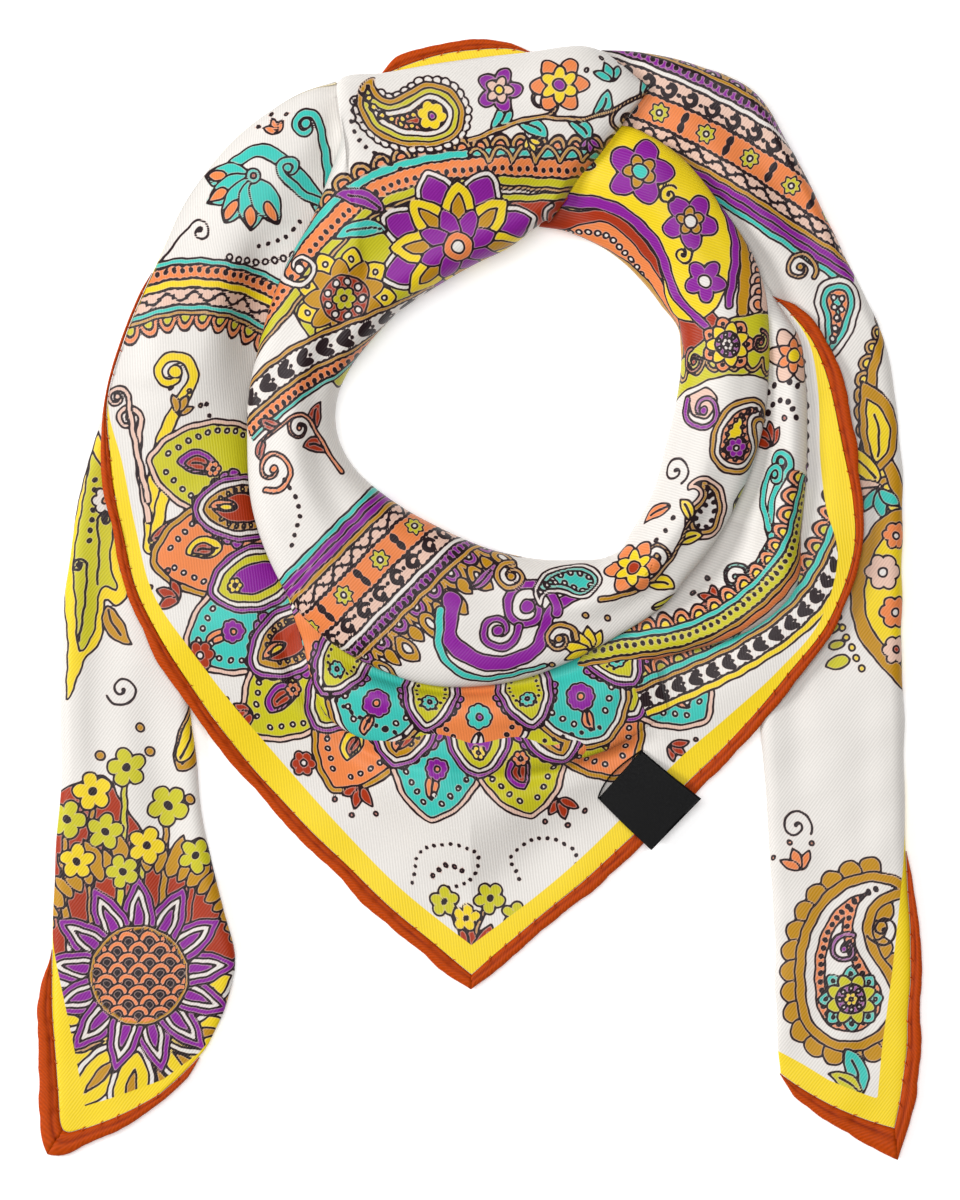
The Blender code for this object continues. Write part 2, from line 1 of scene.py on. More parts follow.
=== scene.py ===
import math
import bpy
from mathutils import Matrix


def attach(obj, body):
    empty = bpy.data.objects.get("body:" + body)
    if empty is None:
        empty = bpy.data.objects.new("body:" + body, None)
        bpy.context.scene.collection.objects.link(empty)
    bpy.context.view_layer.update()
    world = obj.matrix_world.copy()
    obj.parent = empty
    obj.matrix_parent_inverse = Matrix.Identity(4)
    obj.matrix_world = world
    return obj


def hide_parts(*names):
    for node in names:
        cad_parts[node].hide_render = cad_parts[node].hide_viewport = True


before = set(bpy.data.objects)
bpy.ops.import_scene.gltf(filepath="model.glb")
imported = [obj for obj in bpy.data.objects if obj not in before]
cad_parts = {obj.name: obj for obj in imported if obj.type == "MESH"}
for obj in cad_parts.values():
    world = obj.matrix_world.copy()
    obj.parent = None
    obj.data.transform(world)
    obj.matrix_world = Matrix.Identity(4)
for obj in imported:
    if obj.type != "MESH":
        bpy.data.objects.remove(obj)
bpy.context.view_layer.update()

# Silk square scarf, rolled round an open neck and laid flat, face up.
# Sizes are in millimetres until a mesh is made; +X right, +Y back of the neck, +Z up.
from types import SimpleNamespace

import bpy
import numpy as np
from mathutils import Vector
from mathutils.bvhtree import BVHTree

mm = 0.001
noInk = 1.5           # distance given to cloth with no printed outline near it
noBorder = 9.0        # the same for cloth with no printed border
lowest = 0.15         # no face comes nearer to the floor
tuckShare = 0.6       # the cloth goes on under an edge for this share of its turn
tuckGap = 0.05        # between the turn and the cloth under it
tuckBelow = [0.25, 0.5, 0.8, 1.0, 1.0, 1.0]    # how hidden each column there is, 1 for wholly
cornerRow = 15        # the row of the front panel at the square's front corner


def linear(red, green, blue):
    parts = [c / 255 for c in (red, green, blue)]
    return tuple(c / 12.92 if c < 0.04 else ((c + 0.055) / 1.055) ** 2.4 for c in parts)


dyes = {
    "ground": linear(240, 235, 229),
    "yellow": linear(250, 218, 22),
    "border": linear(255, 222, 30),
    "lime": linear(210, 203, 30),
    "ochre": linear(200, 144, 4),
    "coral": linear(245, 138, 74),
    "rust": linear(176, 50, 4),
    "pink": linear(240, 200, 180),
    "purple": linear(144, 22, 158),
    "turquoise": linear(62, 204, 190),
    "ink": linear(34, 14, 20),
    "hem": linear(193, 71, 6),
    "label": linear(12, 12, 13),
}
# dyed silk throws back a little less than the swatches do
dyes = {name: tuple(part * 0.82 for part in tone) for name, tone in dyes.items()}


# rows of sections from the inner to the outer edge, as the solids have them
def filled(*rows):
    # x and y of both edges, heights at 5 places across, the hem's width, the turn, the bow;
    # a row of 4 numbers keeps the heights of the row before
    table, rest = [], []
    for row in rows:
        rest = list(row[4:]) or rest
        table.append([*row[:4], *rest] + [0] * (8 - len(rest)))
    return np.array(table, float)


def summed(steps):
    return np.concatenate([[0], np.cumsum(steps)])


def runLength(path):
    return summed(np.hypot(*np.diff(path, axis=0).T))


def evenSteps(length, spacing, least=2):
    return np.linspace(0, length, max(least, round(length / spacing)) + 1)


def ease(t, start, end, rise, nextRise):
    smooth = start + (end - start) * (3 * t ** 2 - 2 * t ** 3)
    return smooth + (t ** 3 - 2 * t ** 2 + t) * rise + (t ** 3 - t ** 2) * nextRise


def alongRows(table, at, sharp=()):
    last = len(table) - 1
    slope = np.empty_like(table)
    slope[1:-1] = (table[2:] - table[:-2]) / 2
    slope[0], slope[-1] = table[1] - table[0], table[-1] - table[-2]
    slope[list(sharp)] = 0                      # the run turns a corner there
    low = np.clip(at.astype(int), 0, last - 1)
    return ease((at - low)[:, None], table[low], table[low + 1], slope[low], slope[low + 1])


def stationsAlong(table, spacing, sharp, outerShare, last):
    stops = [0.0, *[float(s) for s in sharp], last]
    found = [np.array([0.0])]
    for a, b in zip(stops, stops[1:]):
        fine = np.linspace(a, b, int(40 * (b - a)) + 1)
        run = alongRows(table, fine, sharp)
        inner = np.hypot(*np.diff(run[:, 0:2], axis=0).T)
        outer = np.hypot(*np.diff(run[:, 2:4], axis=0).T)
        length = summed((1 - outerShare) * inner + outerShare * outer)
        found.append(np.interp(evenSteps(length[-1], spacing)[1:], length, fine))
    return np.concatenate(found)


def shoulder(distance, turn):
    share = np.clip(1 - distance / np.maximum(turn, 1e-6), 0, 1)
    return np.where(turn > 0, np.sqrt(1 - share ** 2), 1.0)


def crownHeights(run, share, turnIn, turnOut):
    start = run[:, 5] if turnIn else run[:, 4]
    end = run[:, 7] if turnOut else run[:, 8]
    knots = np.stack([start, run[:, 5], run[:, 6], run[:, 7], end], 1)
    slope = np.gradient(knots, axis=1)
    low = np.clip((share * 4).astype(int), 0, 3)
    t = share * 4 - low
    ends = [np.take_along_axis(part, low + step, 1) for part in (knots, slope) for step in (0, 1)]
    return ease(t, *ends)


def turnedUnder(edge, way, turn, under):
    # columns that go on round under an edge, the nearest to it first
    tuck = turn * tuckShare
    close = [1 - math.cos(a) for a in np.linspace(0, math.pi / 2, 4)]
    columns = [edge + way * tuck * share + way * tuckGap for share in close]
    return columns + [edge + way * tuck + way * under * share for share in (0.5, 1)]


def acrossColumns(at, width, inTurn, outTurn, size):
    # how far from the inner edge each column lies at every station, and how hidden it is;
    # they run from under the inner edge, over the top, to under the outer edge
    quarter = math.pi / 2 * np.linspace(0, 1, size["turnSteps"] + 1) ** 0.8
    columns = [inTurn * (1 - math.cos(a)) for a in quarter] if size["turnIn"] else [inTurn * 0]
    start = inTurn
    if "hidden" in size:                        # coarse columns where other stretches lie over it
        covered = np.interp(at, np.arange(len(size["hidden"])), size["hidden"])
        columns += [inTurn + covered * m for m in (0.2, 0.4, 0.6, 0.8, 1.0)]
        start = inTurn + covered
    middle = np.linspace(0, 1, size["across"] + 1)[1:]
    columns += [start + (width - outTurn - start) * m for m in middle]
    if size["turnOut"] != 0:
        columns += [width - outTurn * (1 - math.cos(a)) for a in quarter[-2::-1]]
    below = [0.0] * len(columns)
    under = size.get("under", 3.0)
    if size["turnIn"]:
        columns = turnedUnder(0, 1, inTurn, under)[::-1] + columns
        below = tuckBelow[::-1] + below
    if size["turnOut"] != 0:
        columns += turnedUnder(width, -1, outTurn, under)
        below += tuckBelow
    return np.stack([c + width * 0 for c in columns], 1), np.array(below)


def layStretch(node, table, size, sharp=()):
    last = size.get("last", len(table) - 1.0)
    at = stationsAlong(table, size["spacing"], sharp, size.get("outerShare", 0.6), last)
    run = alongRows(table, at, sharp)
    dx, dy = run[:, 2] - run[:, 0], run[:, 3] - run[:, 1]
    width = np.hypot(dx, dy)
    turnIn, turnOut = size["turnIn"], size["turnOut"]
    inTurn = np.minimum(turnIn, width / 2)
    outTurn = np.minimum(np.maximum(run[:, 10], 0) if turnOut is None else turnOut, width / 2)
    reach, below = acrossColumns(at, width, inTurn, outTurn, size)
    share = reach / width[:, None]
    bend = 4 * share * (1 - share) * (run[:, 11] / width)[:, None]
    x = run[:, 0:1] + dx[:, None] * share + dy[:, None] * bend
    y = run[:, 1:2] + dy[:, None] * share - dx[:, None] * bend
    crown = crownHeights(run, share, turnIn, turnOut)
    edgeHeight = np.where(share < 0.5, run[:, 4:5], run[:, 8:9])
    lip = np.minimum(edgeHeight, crown)
    bulge = shoulder(reach, inTurn[:, None]) * shoulder(width[:, None] - reach, outTurn[:, None])
    z = lip + (crown - lip) * bulge
    hidden = np.flatnonzero(below > 0)
    if len(hidden):
        rest = edgeHeight[:, hidden] - 1.0
        z[:, hidden] = undersideHeights(node, x[:, hidden], y[:, hidden], rest)
    if "endTurn" in size:                       # the end of the run rolls over and down
        length = runLength(np.stack([x.mean(1), y.mean(1)], 1))
        endCrown = crownHeights(run[:1].repeat(len(run), 0), share, turnIn, turnOut)
        endZ = np.minimum(z, endCrown - size["endDrop"])
        z = endZ + (z - endZ) * shoulder(length, size["endTurn"])[:, None]
    cloth = SimpleNamespace(at=at, run=run, width=width, reach=reach, below=below, share=share)
    cloth.points = np.stack([x, y, z], 2)
    cloth.flipped = bool((dx * np.gradient(y[:, 0]) - dy * np.gradient(x[:, 0])).sum() < 0)
    if "folds" in size:
        shapeCloth(cloth, size)
    return cloth


def undersideHeights(node, x, y, rest):
    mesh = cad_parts[node].data
    tree = BVHTree.FromPolygons([v.co for v in mesh.vertices], [p.vertices for p in mesh.polygons])
    heights = rest.copy()
    for place in np.ndindex(x.shape):
        start = Vector((x[place] * mm, y[place] * mm, -1.0))
        hit = tree.ray_cast(start, Vector((0, 0, 1)))[0]
        if hit is not None:
            heights[place] = min(hit.z / mm, rest[place])
    return heights


def gridNormals(points, flipped):
    along = np.gradient(points, axis=0)
    across = np.gradient(points, axis=1)
    normal = np.cross(across, along)
    normal /= np.maximum(np.linalg.norm(normal, axis=2, keepdims=True), 1e-9)
    return -normal if flipped else normal


def foldDepth(x, y, folds):
    # soft ridges on quadratic curves with tapered ends
    # each row: start, bend and end of the curve in plan, width, height (below 0 for a trough)
    total = np.zeros_like(x)
    steps = np.linspace(0, 1, 33)
    for x0, y0, x1, y1, x2, y2, width, height in folds:
        cx = (1 - steps) ** 2 * x0 + 2 * steps * (1 - steps) * x1 + steps ** 2 * x2
        cy = (1 - steps) ** 2 * y0 + 2 * steps * (1 - steps) * y1 + steps ** 2 * y2
        reach = 3 * width
        near = (x > cx.min() - reach) & (x < cx.max() + reach)
        near &= (y > cy.min() - reach) & (y < cy.max() + reach)
        if not near.any():
            continue
        distance, share, side = pathDistance(x[near], y[near], cx, cy)
        taper = np.sin(math.pi * np.clip(share, 0.001, 0.999)) ** 0.7
        total[near] += height * taper * np.exp(-(distance / width) ** 2)
    return total


def pathDistance(x, y, cx, cy):
    # distance to a path, the share of its length at the nearest place, and the side
    best = np.full(x.shape, 1e9)
    share = np.zeros(x.shape)
    side = np.ones(x.shape)
    lengths = np.hypot(np.diff(cx), np.diff(cy))
    start = summed(lengths)
    for i in range(len(lengths)):
        if lengths[i] < 1e-9:
            continue
        ux, uy = (cx[i + 1] - cx[i]) / lengths[i], (cy[i + 1] - cy[i]) / lengths[i]
        px, py = x - cx[i], y - cy[i]
        t = np.clip(px * ux + py * uy, 0, lengths[i])
        d = np.hypot(px - t * ux, py - t * uy)
        closer = d < best
        best = np.where(closer, d, best)
        share = np.where(closer, start[i] + t, share)
        side = np.where(closer, np.sign(ux * py - uy * px), side)
    return best, share / start[-1], side


def smoothPath(points, spacing=1.0):
    last = len(points) - 1
    return evenPlaces(alongRows(np.array(points, float), np.linspace(0, last, 24 * last + 1)), spacing, 2)


def evenPlaces(path, spacing, least):
    length = runLength(path)
    steps = evenSteps(length[-1], spacing, least)
    return np.interp(steps, length, path[:, 0]), np.interp(steps, length, path[:, 1])


def walk(points, spacing):
    # places along a smooth path, the unit normal to its left there and its heading in degrees
    cx, cy = smoothPath(points, spacing)
    dx, dy = np.gradient(cx), np.gradient(cy)
    length = np.hypot(dx, dy)
    return cx, cy, -dy / length, dx / length, np.degrees(np.arctan2(dy, dx))


def ripple(cloth, size, seed):
    # the slight unevenness of soft silk, a sum of a few slow waves
    rng = np.random.default_rng(seed)
    x, y = cloth.points[..., 0], cloth.points[..., 1]
    total = np.zeros_like(x)
    for _ in range(7):
        angle, length = rng.uniform(0, math.tau), rng.uniform(14, 42)
        along = x * math.cos(angle) + y * math.sin(angle)
        total += np.sin(math.tau * along / length + rng.uniform(0, 6))
    return total * size / 3


def shapeCloth(cloth, size):
    normal = gridNormals(cloth.points, cloth.flipped)
    x, y = cloth.points[..., 0], cloth.points[..., 1]
    lift = foldDepth(x, y, size["folds"]) + ripple(cloth, size["unevenness"], size["seed"])
    lift *= (1 - cloth.below)[None, :]
    cloth.points = cloth.points + normal * lift[..., None]
    cloth.points[..., 2] = np.maximum(cloth.points[..., 2], lowest)


class Print:
    # the colours and outlines of motifs laid one over another on the flattened cloth
    def __init__(self, x, y):
        x, y = x.ravel(), y.ravel()
        # drawn by hand, so no line runs quite true
        self.x = x + 0.16 * np.sin(y * 0.9 + 1.3 * np.sin(x * 0.31)) + 0.04 * np.sin(y * 2.3 + x)
        self.y = y + 0.16 * np.sin(x * 0.8 + 1.7 * np.sin(y * 0.27)) + 0.04 * np.sin(x * 2.1 - y)
        self.tone = np.tile(dyes["ground"], (self.x.size, 1))
        self.ink = np.full(self.x.size, noInk)
        self.side = np.ones(self.x.size)

    def near(self, cx, cy, reach):
        return np.flatnonzero((abs(self.x - cx) < reach) & (abs(self.y - cy) < reach))

    def around(self, cx, cy, reach):
        chosen = (self.x > cx.min() - reach) & (self.x < cx.max() + reach)
        return np.flatnonzero(chosen & (self.y > cy.min() - reach) & (self.y < cy.max() + reach))

    def local(self, at, cx, cy, turn):
        dx, dy = self.x[at] - cx, self.y[at] - cy
        c, s = math.cos(math.radians(turn)), math.sin(math.radians(turn))
        return dx * c + dy * s, dy * c - dx * s

    def polar(self, at, cx, cy, turn=0):
        px, py = self.local(at, cx, cy, turn)
        return np.hypot(px, py), np.arctan2(py, px)

    def lay(self, at, distance, tone):
        # unlike signs on the two sides of an outline keep its line whole between points
        spot, beyond = at[distance < 0], at[(distance >= 0) & (distance < 0.7)]
        self.tone[spot] = dyes[tone]
        self.side[spot] = -1 if self.side[beyond].sum() >= 0 else 1
        self.ink[spot] = noInk
        self.ink[at] = np.minimum(self.ink[at], np.abs(distance))

    def line(self, at, distance):
        self.ink[at] = np.minimum(self.ink[at], np.maximum(distance - 0.08, 0))


def disc(art, x, y, radius, tone=None):
    # without a tone it is a dot of plain ink
    at = art.near(x, y, radius + 2)
    distance = np.hypot(art.x[at] - x, art.y[at] - y) - radius
    if tone:
        art.lay(at, distance, tone)
    else:
        art.line(at, distance + 0.3)


def discChain(px, py, *chain):
    best = np.full(px.shape, 1e9)
    for cx, cy, radius in zip(*chain):
        best = np.minimum(best, np.hypot(px - cx, py - cy) - radius)
    return best


def toPlan(x, y, turn, cx, cy):
    c, s = math.cos(math.radians(turn)), math.sin(math.radians(turn))
    return x + cx * c - cy * s, y + cx * s + cy * c


def field(art, points, tone):
    # a patch inside a closed line
    cx, cy = smoothPath([*points, points[0]], 1.0)
    at = art.around(cx, cy, 3)
    px, py = art.x[at], art.y[at]
    distance = pathDistance(px, py, cx, cy)[0]
    inside = np.zeros(px.shape, bool)
    for x0, y0, x1, y1 in zip(cx[:-1], cy[:-1], cx[1:], cy[1:]):
        if y0 != y1:
            inside ^= ((y0 > py) != (y1 > py)) & (px < (x1 - x0) * (py - y0) / (y1 - y0) + x0)
    art.lay(at, np.where(inside, -distance, distance), tone)


def flower(art, x, y, size, petals, rings, heart, plump=0.62):
    # rings are (tone, share of the size, share of a petal that the ring is turned by)
    at = art.near(x, y, size * 1.1 + 3)
    r, a = art.polar(at, x, y)
    sector = math.tau / petals
    t = np.linspace(0, 1, 26)
    for tone, reach, shift in rings:
        folded = (a + (shift + 0.5) * sector) % sector - sector / 2
        half = plump * reach * size * math.sin(sector / 2)
        bulge = half * np.maximum(np.sin(math.pi * np.minimum(t ** 0.9, 1)), 0.02) ** 0.75
        along = reach * size * (0.2 + 0.78 * t)
        art.lay(at, discChain(r * np.cos(folded), r * np.sin(folded), along, t * 0, bulge), tone)
    for tone, radius in heart:
        art.lay(at, r - radius * size, tone)


def daisy(art, x, y, size, tone, turn=0, petals=5, eye=None):
    at = art.near(x, y, size + 3)
    r, a = art.polar(at, x, y, turn)
    sector = math.tau / petals
    folded = (a + sector / 2) % sector - sector / 2
    petal = np.hypot(r * np.cos(folded) - 0.58 * size, r * np.sin(folded) * 1.05) - 0.4 * size
    art.lay(at, np.minimum(petal, r - 0.5 * size), tone)
    if eye:
        art.lay(at, r - 0.24 * size, eye)
    else:
        art.line(at, r - 0.2 * size + 0.3)


def dropChain(size, curl, plump):
    t = np.linspace(0, 1, 52)
    heading = np.radians(curl) * t ** 1.7
    step = 0.92 * size / (len(t) - 1)
    cx, cy = summed(np.sin(heading[1:]) * step), summed(np.cos(heading[1:]) * step)
    radius = size * (plump * (1 - t) ** 0.85 + 0.016)
    return cx, cy, radius, heading


def rimPoints(size, curl, plump, inset, spacing):
    # places round a drop, one inset from its outline
    cx, cy, radius, heading = dropChain(size, curl, plump)
    keep = slice(0, 40)
    off = np.maximum(radius[keep] - inset, 0.2)
    nx, ny = np.cos(heading[keep]), -np.sin(heading[keep])
    left = np.stack([cx[keep] - nx * off, cy[keep] - ny * off], 1)[::-1]
    right = np.stack([cx[keep] + nx * off, cy[keep] + ny * off], 1)
    swing = np.linspace(math.pi, math.tau, 14)[1:-1]
    bowl = np.stack([off[0] * np.cos(swing), off[0] * np.sin(swing)], 1)
    return evenPlaces(np.concatenate([left, bowl, right]), spacing, 3)


def paisley(art, x, y, size, turn, tones, curl=170, mirrored=False, lining=2.0, plump=0.3,
            rim=None, beads=None, heart=None):
    # a drop that curls over at its tip, with narrower drops laid inside it
    flip = -1 if mirrored else 1

    def beadRow(tone, inset, radius, spacing):
        for cx, cy in zip(*rimPoints(size, curl, plump, inset, spacing)):
            disc(art, *toPlan(x, y, turn, flip * cx, cy), radius, tone)

    if rim:
        beadRow(rim[0], -0.4 * rim[1], rim[1], 1.75 * rim[1])
    at = art.near(x, y, 1.4 * size)
    px, py = art.local(at, x, y, turn)
    distance = discChain(flip * px, py, *dropChain(size, curl, plump)[:3])
    for k, tone in enumerate(tones):
        art.lay(at, distance + k * lining, tone)
    if beads:
        beadRow(*beads)
    if heart:
        tone, eye, share = heart
        daisy(art, x, y, share * size, tone, turn, 6, eye)


def leaf(art, x, y, length, turn, tone, width=0.34, bend=0.25, vein=True):
    t = np.linspace(0, 1, 26)
    cy = length * t
    cx = bend * length * np.sin(math.pi * t * 0.9) * 0.5
    half = width * length * 0.5 * np.maximum(np.sin(math.pi * t ** 0.85), 0.01) ** 0.9
    at = art.near(x, y, 1.2 * length + 2)
    px, py = art.local(at, x, y, turn)
    art.lay(at, discChain(px, py, cx, cy, half), tone)
    if vein:
        art.line(at, pathDistance(px, py, cx[2:19], cy[2:19])[0])


def scroll(art, x, y, size, turn, tone=None, weight=0.9, mirrored=False, turns=1.35):
    # a tendril that winds in on itself, thick at its root; without a tone it is a line of ink
    t = np.linspace(0, 1, 70)
    angle = math.tau * turns * t
    radius = size * (1 - t) ** 0.75 + 0.06 * size
    cx, cy = radius * np.cos(angle), radius * np.sin(angle)
    at = art.near(x, y, 1.2 * size + 2)
    px, py = art.local(at, x, y, turn)
    px = -px if mirrored else px
    end = np.hypot(px - cx[-1], py - cy[-1])
    if tone:
        art.lay(at, discChain(px, py, cx, cy, weight * (1.1 - 0.5 * t)), tone)
        art.lay(at, end - 1.5 * weight, tone)
    else:
        art.line(at, pathDistance(px, py, cx, cy)[0])
        art.line(at, end - 0.35)


def stem(art, points, tone, weight):
    cx, cy = smoothPath(points, 0.8)
    at = art.around(cx, cy, 3 + weight)
    distance, share, side = pathDistance(art.x[at], art.y[at], cx, cy)
    art.lay(at, distance - weight * (1.3 - 0.6 * share), tone)


def tendril(art, points, reach, tone=None, weight=0.8, way=1, turns=1.15):
    # a stem that thins from its root and winds up at its end
    cx, cy = smoothPath(points, 0.8)
    heading = math.atan2(cy[-1] - cy[-3], cx[-1] - cx[-3]) - way * math.pi / 2
    t = np.linspace(0, 1, 60)[1:]
    angle = heading + way * math.tau * turns * t
    radius = reach * (1 - 0.82 * t)
    cx = np.concatenate([cx, cx[-1] - reach * math.cos(heading) + radius * np.cos(angle)])
    cy = np.concatenate([cy, cy[-1] - reach * math.sin(heading) + radius * np.sin(angle)])
    at = art.around(cx, cy, 3 + weight)
    if tone:
        thick = weight * (1.25 - 0.7 * np.linspace(0, 1, len(cx)) ** 1.5)
        art.lay(at, discChain(art.x[at], art.y[at], cx, cy, thick), tone)
    else:
        art.line(at, pathDistance(art.x[at], art.y[at], cx, cy)[0])
    disc(art, cx[-1], cy[-1], 1.25 * weight, tone)


def beads(art, points, spacing, radius, tone=None):
    for cx, cy in zip(*smoothPath(points, spacing)):
        disc(art, cx, cy, radius, tone)


def plain(*linings):
    return ({"linings": linings},)


def petal(art, x, y, turn, root, tip, half, look):
    # one pointed petal that lies along turn, with its linings, beads, fringe and small ornaments
    t = np.linspace(0, 1, 40)
    profile = half * np.maximum(np.sin(math.pi * t ** 0.85), 0.0) ** 0.95 + 0.05
    along = root + (tip - root) * t
    if "fringe" in look:
        tone, radius = look["fringe"]
        for u in np.arange(tip - radius, root + 0.45 * (tip - root), -1.5 * radius):
            across = np.interp(u, along, profile) + 0.2 * radius
            for way in (1, -1):
                disc(art, *toPlan(x, y, turn, u, way * across), radius, tone)
    at = art.near(*toPlan(x, y, turn, (root + tip) / 2, 0), (tip - root) * 0.55 + half)
    px, py = art.local(at, x, y, turn)
    distance = discChain(px, py, along, t * 0, profile)
    for tone, depth in look["linings"]:
        art.lay(at, distance + depth, tone)
    if "rim" in look:
        tone, inset, radius, pitch = look["rim"]
        for u in np.arange(tip - 1.9 * inset, root + 0.2 * (tip - root), -pitch):
            across = np.interp(u, along, profile) - inset
            for way in (1, -1) if across > radius else ():
                disc(art, *toPlan(x, y, turn, u, way * across), radius, tone)
    for kind, share, across, *values in look.get("within", ()):
        spot = toPlan(x, y, turn, root + (tip - root) * share, across)
        if kind is leaf:
            length, way, *rest = values
            leaf(art, *spot, length, turn - 90 + way, *rest)
        else:
            kind(art, *spot, *values)


def lotus(art, x, y, root, tip, turn, spread, count, looks, plump=0.5):
    # petals side by side round a centre, their looks by turns
    step = spread / count
    half = plump * tip * math.sin(math.radians(step / 2)) * 1.6
    for k in range(count):
        petal(art, x, y, turn - spread / 2 + (k + 0.5) * step, root, tip, half, looks[k % len(looks)])


def plume(art, points, tone, inner, lobe, taper, ways=(1, -1)):
    # a curved leaf with round lobes, smaller towards its tip
    cx, cy, nx, ny, heading = walk(points, lobe * 1.1)
    for k in range(len(cx) - 1, -1, -1):
        size = lobe * (1 - (1 - taper) * k / (len(cx) - 1))
        for way in ways:
            ox, oy = cx[k] + way * nx[k] * size * 0.75, cy[k] + way * ny[k] * size * 0.75
            disc(art, ox, oy, size, tone)
            disc(art, ox, oy, size * 0.5, inner)
    stem(art, points, tone, lobe * 0.42)


def vine(art, points, tone, leafTone, size, spacing, width, weight=0.7):
    # a stem with leaves and tendrils on either side of it by turns
    cx, cy, nx, ny, heading = walk(points, spacing)
    for i in range(1, len(cx)):
        way = 1 if i % 2 else -1
        reach = size * (1.1 - 0.4 * i / len(cx))
        if i % 3 == 0:
            ox, oy = nx[i] * way * reach * 0.55, ny[i] * way * reach * 0.55
            turn = math.degrees(math.atan2(-oy, -ox))
            scroll(art, cx[i] + ox, cy[i] + oy, reach * 0.5, turn, tone, weight * 0.8, turns=1.2)
        else:
            leaf(art, cx[i], cy[i], reach, heading[i] - 90 + way * 52, leafTone, width, way * 0.3)
    stem(art, points, tone, weight)


def sprout(art, x, y, turn, size, tone, bead=None, leaves=3, spread=46):
    # leaves that open from one spot, with a bead beyond each
    for k in range(leaves):
        way = (k - (leaves - 1) / 2) * spread
        leaf(art, x, y, size * (1 - 0.08 * abs(way) / spread), turn + way, tone, 0.46, 0.08, False)
        if bead:
            disc(art, *toPlan(x, y, turn + way + 90, 1.28 * size, 0), 0.1 * size, bead)


def leafRow(art, points, spacing, length, tone, eye=None, lean=90, width=0.55):
    # leaves that stand side by side along a line, a tall one and a short one by turns
    cx, cy, nx, ny, heading = walk(points, spacing)
    for i in range(len(cx)):
        size = length * (1.0 if i % 2 else 0.66)
        turn = heading[i] - 90 + lean
        leaf(art, cx[i], cy[i], size, turn, tone, width, 0.12, False)
        if eye and i % 2:
            spot = toPlan(cx[i], cy[i], turn + 90, 0.22 * size, 0)
            leaf(art, *spot, size * 0.45, turn, eye, 0.5, 0.1, False)


def rosette(art, x, y, size, petals, tones):
    # a round flower in rings, with two circles of beads
    outer, inner, middle, centre = tones
    flower(art, x, y, size, petals, [(outer, 1.0, 0.0), (inner, 0.8, 0.5)], [(middle, 0.46)], 0.72)
    for k in range(petals):
        for reach, radius in ((0.34, 0.07), (0.78, 0.05)):
            disc(art, *toPlan(x, y, 360 * k / petals, reach * size, 0), radius * size, "ground")
    daisy(art, x, y, 0.24 * size, centre, 0, 6, inner)


def arcade(art, points, pitch, height, tone, weight):
    # pointed arches side by side along a line
    cx, cy, nx, ny, heading = walk(points, 0.5)
    s = np.arange(len(cx)) * 0.5
    rise = height * (1 - np.abs(np.sin(math.pi * s / pitch)) ** 0.7)
    ox, oy = cx + nx * rise, cy + ny * rise
    at = art.around(ox, oy, 3)
    art.lay(at, pathDistance(art.x[at], art.y[at], ox, oy)[0] - weight, tone)


def scales(art, x, y, depth, pitch, tones, reach):
    # rows of round scales, each row over the one behind, inside a circle of the given reach
    at = art.near(x, y, depth + 3)
    px, py = art.local(at, x, y, 0)
    within = np.hypot(px, py) < reach
    at, px, py = at[within], px[within], py[within]
    for row in range(int(depth / (pitch * 0.5)), -1, -1):
        level = row * pitch * 0.5 - depth / 2
        phase = ((px / pitch + 0.5 * (row % 2)) % 1 - 0.5) * pitch
        distance = np.hypot(phase, py - level) - pitch * 0.52
        art.lay(at, distance, tones[0])
        art.lay(at, distance + pitch * 0.27, tones[1])


def ribbon(art, points, lanes, scallops=()):
    # lanes are (width, tone, ornament and its tone if any) from the left of the path to its right
    cx, cy = smoothPath(points, 1.2)
    total = sum(lane[0] for lane in lanes)
    reach = total / 2 + 6
    at = art.around(cx, cy, reach)
    distance, share, side = pathDistance(art.x[at], art.y[at], cx, cy)
    length = np.hypot(np.diff(cx), np.diff(cy)).sum()
    keep = (distance < reach) & (share > 0) & (share < 1)
    at, distance, share, side = at[keep], distance[keep], share[keep], side[keep]
    s, t = share * length, -distance * side
    for edge, pitch, rings in scallops:
        level = edge * total / 2
        outside = (t - level) * edge > -0.6
        bow = np.hypot(repeat(s, pitch), (t - level) * 0.66)[outside]
        for tone, radius in rings:
            art.lay(at[outside], bow - pitch * radius, tone)
    start = -total / 2
    for width, tone, *ornament in lanes:
        across = t - (start + width / 2)
        inside = np.abs(across) < width / 2 + 1.2
        spot, u, v = at[inside], s[inside], across[inside]
        frill = 0.4 * np.abs(repeat(u, 2.1)) if width > 3 else 0
        art.lay(spot, np.abs(v) - width / 2 + frill, tone)
        if ornament:
            ornament[0](art, spot, u, v, width, *ornament[1:])
        start += width


def repeat(s, pitch):
    return ((s / pitch) % 1 - 0.5) * pitch


def seeds(art, at, s, v, width):
    art.line(at, np.hypot(repeat(s, 2.5), (v + 0.1 * width) * 0.8) - 0.36)


def waves(art, at, s, v, width):
    pitch = width * 1.7
    wave = np.sin(s / pitch * math.tau) * width * 0.24
    art.line(at, np.abs(v - wave) * 0.75)
    art.line(at, np.hypot(repeat(s + pitch / 4, pitch / 2), v + wave * 1.1) - width * 0.06)


def hooks(art, at, s, v, width):
    phase = repeat(s, width * 1.12)
    angle = np.arctan2(v, phase)
    r = np.hypot(phase, v)
    ring = np.abs(r - width * (0.26 + 0.02 * angle)) - width * (0.075 - 0.012 * angle)
    art.line(at, np.where(angle < -2.0, 2.0, ring))
    art.line(at, np.hypot(phase + width * 0.1, v + width * 0.12) - width * 0.07)
    art.line(at, np.hypot(repeat(s + width * 0.56, width * 1.12), v - width * 0.1) - width * 0.05)


